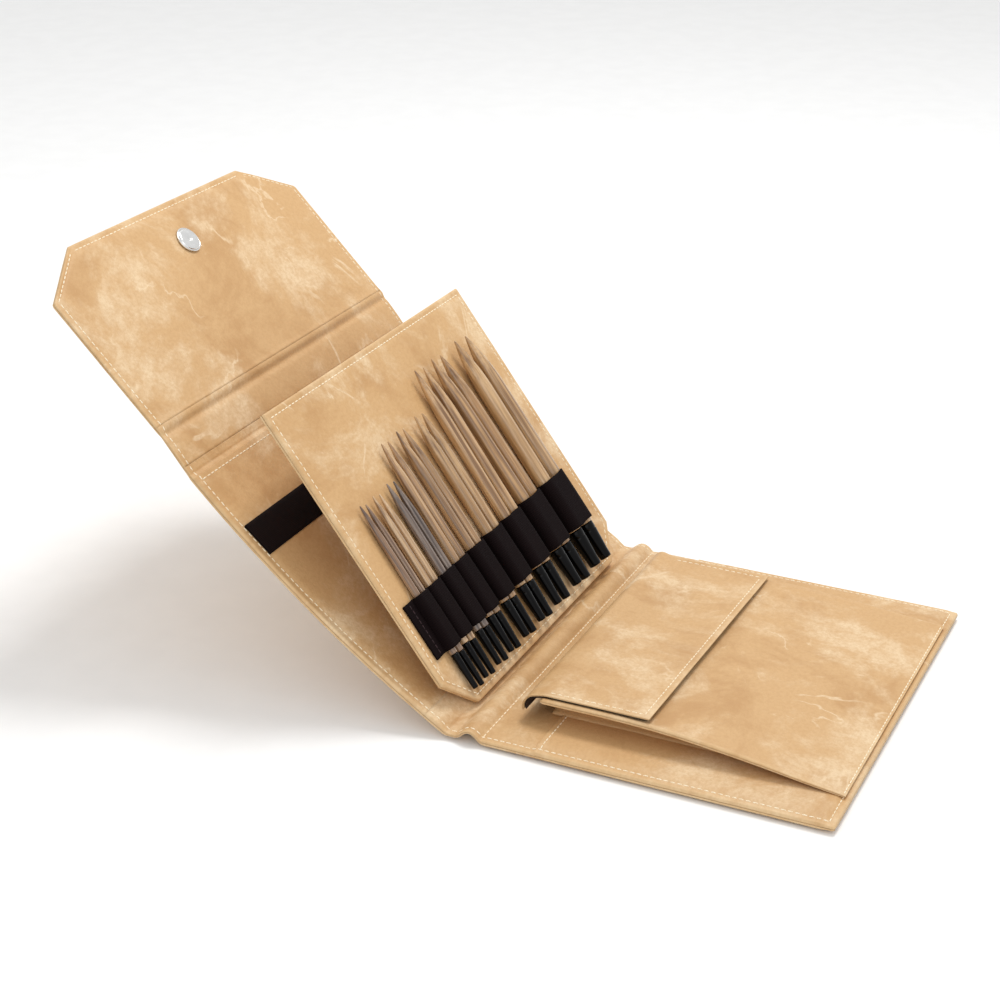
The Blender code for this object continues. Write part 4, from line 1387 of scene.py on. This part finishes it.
# ------------------------------------------------------------------ tips and ferrules
@dataclass
class TurnedSize:
    """A turned node's foot, axis, length and largest radius, measured on the frame."""

    foot: Array
    axis: Array
    length: float
    radius: float

    @classmethod
    def of(cls, node: str, axis: Array) -> "TurnedSize":
        """Measure a CAD node about an axis direction."""
        points = node_points(node)
        along = points @ axis
        low = points[along < along.min() + 0.05 * MM]
        centre = (low.min(0) + low.max(0)) / 2
        foot = centre + axis * (along.min() - centre @ axis)
        off = points - foot
        off -= np.outer(off @ axis, axis)
        return cls(foot, axis, float(along.max() - along.min()), float(np.linalg.norm(off, axis=1).max()))


@dataclass
class NeedleTips:
    """Eighteen wooden tips with their black ferrules, turned about their slide axes."""

    woods: tuple
    sides: int = 28
    point_radius: float = 0.35 * MM
    taper_share: float = 0.26

    def __post_init__(self) -> None:
        """Measure every tip and ferrule."""
        self.sizes = {}
        for pair in range(1, 10):
            for letter in "ab":
                axis = unit(slide_axis(f"slide_{pair}{letter}"))
                tip = TurnedSize.of(f"tip_{pair}{letter}", axis)
                ferrule = TurnedSize.of(f"ferrule_{pair}{letter}", axis)
                self.sizes[(pair, letter)] = (tip, ferrule)

    def tip_profile(self, tip: TurnedSize) -> Array:
        """Radii and heights of a tip: straight shank, then a slender ogive to a round point.

        In the taper the radius is point + (r - point) * sin(q)^0.9, with q falling from a
        quarter turn at the shoulder to zero at the point.
        """
        taper = max(self.taper_share * tip.length, 2.6 * 2 * tip.radius)
        top = tip.length - self.point_radius
        q = np.linspace(math.pi / 2, 0, 22)
        lean = self.point_radius + (tip.radius - self.point_radius) * np.sin(q) ** 0.9
        height = tip.length - taper + (top - tip.length + taper) * (1 - q / (math.pi / 2))
        shank = np.array([[0.0, 0.0], [tip.radius * 0.97, 0.0], [tip.radius, 0.15 * MM]])
        middle = np.stack([np.full(9, tip.radius), np.linspace(0.6 * MM, tip.length - taper - 1 * MM, 9)], 1)
        cap = np.array([[self.point_radius * 0.6, tip.length - 0.1 * MM], [0.0, tip.length]])
        return np.vstack([shank, middle, np.stack([lean, height], 1), cap])

    def ferrule_profile(self, ferrule: TurnedSize, end: float) -> Array:
        """Radii and heights of a ferrule: bored cable end, cone, turned rings and collar."""
        r, length = ferrule.radius, ferrule.length
        bore = end * 0.55
        shape = [(0.0, 2.5 * MM), (bore, 2.5 * MM), (bore, 0.3 * MM)]
        shape += [(end * 0.80, 0.0), (end * 0.95, 0.12 * MM)]
        shape += [(end, 0.45 * MM), (end * 1.02, length * 0.06), (end * 1.05, length * 0.22)]
        for share in (0.36, 0.50, 0.64, 0.76):
            mix = (share - 0.22) / 0.58
            shape.append((end * 1.05 + (r - end * 1.05) * mix, length * share))
        groove = length * 0.80
        shape += [(r, groove - 0.3 * MM), (r * 0.955, groove), (r * 0.955, groove + 0.25 * MM)]
        shape += [(r, groove + 0.5 * MM), (r, length - 0.35 * MM), (r * 0.96, length), (0.0, length)]
        return np.array(shape)

    def build(self) -> None:
        """Turn every tip and ferrule and hang it on its own body."""
        for (pair, letter), (tip, ferrule) in self.sizes.items():
            body = f"needle_{pair}{letter}"
            profile = self.tip_profile(tip)
            wood = turned_piece(f"wood_tip_{pair}{letter}", tip.foot, tip.axis, profile, self.sides)
            shift = np.array([0.013 * pair, 0.007 * (letter == "b"), 0.31 * pair])
            grain = wood.data.attributes["grain"]
            own = np.empty(len(wood.data.vertices) * 3, np.float32)
            grain.data.foreach_get("vector", own)
            grain.data.foreach_set("vector", (own.reshape(-1, 3) + shift).astype(np.float32).ravel())
            wood.data.materials.append(self.woods[pair - 1].material())
            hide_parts(f"tip_{pair}{letter}")
            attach(wood, body)
            end = ferrule.radius * 0.76
            profile = self.ferrule_profile(ferrule, end)
            name = f"black_ferrule_{pair}{letter}"
            metal = turned_piece(name, ferrule.foot, ferrule.axis, profile, self.sides)
            metal.data.materials.append(BLACK.material())
            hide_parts(f"ferrule_{pair}{letter}")
            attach(metal, body)
            for piece in (wood, metal):
                face_out(piece)
        LOG.info("%d tips with ferrules", len(self.sizes))


@dataclass
class ElasticBand:
    """The dark elastic sewn to the page between pairs and stretched over each pair."""

    page: PageFrame
    tips: NeedleTips
    thickness: float = 0.9 * MM
    slack: float = 0.25 * MM
    page_half: float = 1.5 * MM

    def loop_line(self) -> Array:
        """The band's middle line across the page, as (x, height above the page's middle).

        It lies flat beside each pair, climbs round the left tip by a quarter circle, runs
        level to the right tip and comes down round it; then the line is softened.
        """
        low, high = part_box("needle_band")
        mid = node_points("needle_band") - self.page.foot
        v = float((mid @ self.page.up).mean())
        flat = self.page_half + 0.3 * MM + self.thickness / 2
        line = [(low.x, flat)]
        for pair in range(1, 10):
            spots = []
            for letter in "ab":
                tip = self.tips.sizes[(pair, letter)][0]
                off = tip.foot - self.page.foot
                t = (v - off @ self.page.up) / (tip.axis @ self.page.up)
                spot = off + t * tip.axis
                spots.append((spot[0], spot @ self.page.out, tip.radius))
            (xa, ha, r), (xb, hb, _) = spots
            reach = r + self.slack + self.thickness / 2
            line.append((xa - reach - 0.35 * MM, flat))
            for q in np.linspace(math.pi, math.pi / 2, 7):
                line.append((xa + reach * math.cos(q), ha + reach * math.sin(q)))
            for q in np.linspace(math.pi / 2, 0, 7):
                line.append((xb + reach * math.cos(q), hb + reach * math.sin(q)))
            line.append((xb + reach + 0.35 * MM, flat))
        line.append((high.x, flat))
        line = np.array(line)
        steps = np.linalg.norm(np.diff(line, axis=0), axis=1)
        s = np.concatenate([[0.0], np.cumsum(steps)])
        even = np.arange(0, s[-1], 0.3 * MM)
        return np.stack([np.interp(even, s, line[:, k]) for k in range(2)], 1)

    def build(self) -> None:
        """Carry the line up the page as a woven band, and sew it between the pairs."""
        line = self.loop_line()
        mid = (node_points("needle_band") - self.page.foot) @ self.page.up
        v = np.linspace(mid.min(), mid.max(), 25)
        wavy = 0.12 * MM * np.sin(line[:, 0] / (2.1 * MM))
        height = np.maximum(line[:, 1][None], 0)
        bulge = bell(v, (v[0] + v[-1]) / 2, 9 * MM)[:, None] * ramp(line[:, 1], 3 * MM, 6 * MM)[None]
        bulge = bulge * 0.15 * MM
        edge = (v[:, None] - v.mean()) / (v[-1] - v.mean())
        grid_v = v[:, None] + wavy[None] * edge
        points = self.page.place(line[:, 0][None], grid_v, height + bulge)
        piece = new_piece("woven_band", points, grid_faces(len(v), len(line), False))
        steps = np.linalg.norm(np.diff(line, axis=0), axis=1)
        along = np.concatenate([[0.0], np.cumsum(steps)])
        give_vectors(piece, "lay", np.stack(np.broadcast_arrays(v[:, None], along[None], 0.0), -1))
        thick(piece, self.thickness, 0.0)
        piece.data.materials.append(ELASTIC.material())
        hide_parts("needle_band")
        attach(piece, "page")
        shades = linear(60, 30, 36), linear(28, 12, 16)
        thread = ThreadFinish("aubergine_thread", *shades, 2.0 * MM, 0.5 * MM, 2.5 * MM)
        low = np.flatnonzero(line[:, 1] < line[:, 1].min() + 0.05 * MM)
        groups = np.split(low, np.flatnonzero(np.diff(low) > 1) + 1)
        lines = []
        for group in groups:
            x = float(line[group, 0].mean())
            at = np.linspace(v[0] + 1 * MM, v[-1] - 1 * MM, 20)
            h = line[:, 1].min() + self.thickness / 2
            lines.append((self.page.place(np.array(x), at, np.array(h)), np.tile(self.page.out, (20, 1))))
        stitches = thread_stitches("band_stitches", lines, thread)
        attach(stitches, "page")
        LOG.info("elastic band with %d seams", len(groups))


# ------------------------------------------------------------------ snap
@dataclass
class SnapButton:
    """The bright cap on the flap and its hidden half under the front leaf."""

    radius: float = 6.6 * MM
    sides: int = 64

    def cap(self) -> None:
        """A dished cap with a rolled rim and a small raised button."""
        normal = np.array([0.0, *self.flap_normal()])
        points = node_points("snap_cap")
        along = points @ normal
        centre = (points.min(0) + points.max(0)) / 2
        foot = centre + normal * (along.min() - centre @ normal)
        top = float(along.max() - along.min())
        r = self.radius
        shares = ((0, 0.0), (1.0, 0.0), (1.0, 0.42), (0.985, 0.56), (0.95, 0.62), (0.92, 0.58), (0.90, 0.40))
        shares += ((0.88, 0.40), (0.86, 0.66), (0.84, 0.84), (0.80, 0.93), (0.70, 0.96), (0.45, 1.0))
        shares += ((0.20, 1.0), (0.16, 0.94), (0.12, 0.78), (0.06, 0.74), (0.0, 0.74))
        profile = np.array([(r * a, top * b) for a, b in shares])
        profile[0, 1] = 0.0
        piece = turned_piece("bright_snap_cap", foot, normal, profile, self.sides)
        face_out(piece)
        piece.data.materials.append(NICKEL.material())
        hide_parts("snap_cap")
        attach(piece, "flap")

    def flap_normal(self) -> Array:
        """The flap's inward normal as (y, z)."""
        slope = node_slope("flap_lining")
        return np.array([-slope[1], slope[0]])

    def socket(self) -> None:
        """The mating half: a flat ring round a hollow, flush in the outer face."""
        low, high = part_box("snap_socket")
        centre = np.array([(low.x + high.x) / 2, (low.y + high.y) / 2, high.z])
        deep = high.z - low.z
        shares = ((0, 0.0), (0.97, 0.0), (1.0, 0.1), (1.0, 0.75), (0.97, 0.93), (0.9, 1.0), (0.55, 1.0))
        shares += ((0.47, 0.92), (0.44, 0.75), (0.42, 0.6), (0.30, 0.58), (0.0, 0.56))
        profile = np.array([(self.radius * a, deep * b) for a, b in shares])
        piece = turned_piece("snap_half_under_leaf", centre, np.array([0.0, 0.0, -1.0]), profile, self.sides)
        face_out(piece)
        piece.data.materials.append(NICKEL.material())
        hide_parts("snap_socket")
        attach(piece, "case_front")

    def build(self) -> None:
        """Make both halves."""
        self.cap()
        self.socket()
        LOG.info("snap halves")


# ------------------------------------------------------------------ boards
def dress_boards() -> None:
    """Give the carried-over boards their card finish."""
    for name in ("front_board", "back_board", "page_board", "flap_board"):
        node = frame["nodes"][name]
        if not node.material_slots:
            node.data.materials.append(CARD.material())
        for place in node.material_slots:
            place.material = CARD.material()
    LOG.info("boards dressed")


# ------------------------------------------------------------------ stage
@dataclass
class Studio:
    """Camera, pale floor and soft lights."""

    eye: Vector = Vector((-0.79807, -0.35456, 0.45919))
    lens: float = 75.92
    rows: tuple = (
        (0.417122, -0.908778, 0.011518),
        (-0.368606, -0.180744, -0.911845),
        (0.830746, 0.376105, -0.410373),
    )

    def camera(self) -> None:
        """A camera whose right, down and forward directions are the three rows."""
        data = bpy.data.cameras.new("view")
        data.lens, data.sensor_width = self.lens, 36.0
        camera = bpy.data.objects.new("view", data)
        right, down, ahead = (Vector(row) for row in self.rows)
        turn = Matrix((right, -down, -ahead)).transposed()
        camera.matrix_world = Matrix.Translation(self.eye) @ turn.to_4x4()
        bpy.context.scene.collection.objects.link(camera)
        bpy.context.scene.camera = camera

    def floor(self) -> None:
        """A wide pale floor with a faint paper grain."""
        size = 6.0
        t = np.linspace(-size, size, 9)
        points = np.stack(np.broadcast_arrays(t[:, None], t[None], -0.0004), -1)
        floor = new_piece("pale_floor", points, grid_faces(9, 9, False))
        made, nodes, shader = fresh_material("pale_paper")
        place = nodes.add("ShaderNodeTexCoord").outputs["Object"]
        paper = nodes.between(nodes.noise(place, 40.0, 4.0), 0.3, 0.7, 0.0, 1.0)
        shade = nodes.mixed(paper, (0.90, 0.90, 0.895, 1), (0.92, 0.92, 0.915, 1))
        made.node_tree.links.new(shade, shader.inputs["Base Color"])
        shader.inputs["Roughness"].default_value = 0.9
        floor.data.materials.append(made)

    def light(self, name: str, place: Vector, aim: Vector, size: float, power: float) -> None:
        """One soft square light that looks at a point."""
        data = bpy.data.lights.new(name, "AREA")
        data.size, data.energy = size, power
        lamp = bpy.data.objects.new(name, data)
        lamp.location = place
        lamp.rotation_mode = "QUATERNION"
        lamp.rotation_quaternion = (aim - place).to_track_quat("-Z", "Y")
        bpy.context.scene.collection.objects.link(lamp)

    def build(self) -> None:
        """Set up the camera, floor, lights and white surroundings."""
        self.camera()
        self.floor()
        aim = Vector((0.0, 0.0, 0.05))
        self.light("key", Vector((0.45, -0.05, 1.25)), aim, 0.4, 8.0)
        self.light("fill", Vector((-1.3, -0.6, 0.9)), aim, 1.2, 3.0)
        world = bpy.data.worlds.new("white_room")
        world.use_nodes = True
        world.node_tree.nodes["Background"].inputs[0].default_value = (1.0, 1.0, 1.0, 1.0)
        world.node_tree.nodes["Background"].inputs[1].default_value = 0.82
        bpy.context.scene.world = world
        bpy.context.scene.view_settings.view_transform = "Standard"
        LOG.info("studio ready")


def driftwood() -> tuple:
    """Nine woods, one for each pair, from brown-grey to honey."""
    tones = (
        (linear(176, 146, 118), linear(138, 106, 80), linear(84, 62, 50)),
        (linear(214, 182, 142), linear(190, 154, 112), linear(128, 96, 66)),
        (linear(150, 132, 118), linear(104, 86, 76), linear(52, 42, 40)),
        (linear(206, 170, 126), linear(172, 134, 94), linear(110, 78, 52)),
        (linear(200, 162, 118), linear(164, 126, 86), linear(100, 72, 48)),
        (linear(204, 168, 122), linear(176, 138, 94), linear(120, 88, 58)),
        (linear(206, 168, 122), linear(178, 138, 92), linear(124, 90, 58)),
        (linear(200, 160, 112), linear(168, 128, 84), linear(112, 80, 50)),
        (linear(210, 174, 128), linear(182, 144, 98), linear(130, 96, 62)),
    )
    return tuple(WoodFinish(f"driftwood_{k}", *tone) for k, tone in enumerate(tones, 1))


def main() -> None:
    """Build every piece in order."""
    logging.basicConfig(level=logging.INFO, format="%(name)s: %(message)s")
    Studio().build()
    path = CasePath()
    FoldingCase(path).build()
    FasteningStrip(path).build()
    Pocket().build()
    page = PageFrame()
    NeedlePage(page).build()
    tips = NeedleTips(driftwood())
    tips.build()
    ElasticBand(page, tips).build()
    SnapButton().build()
    dress_boards()


if __name__ == "__main__":
    main()
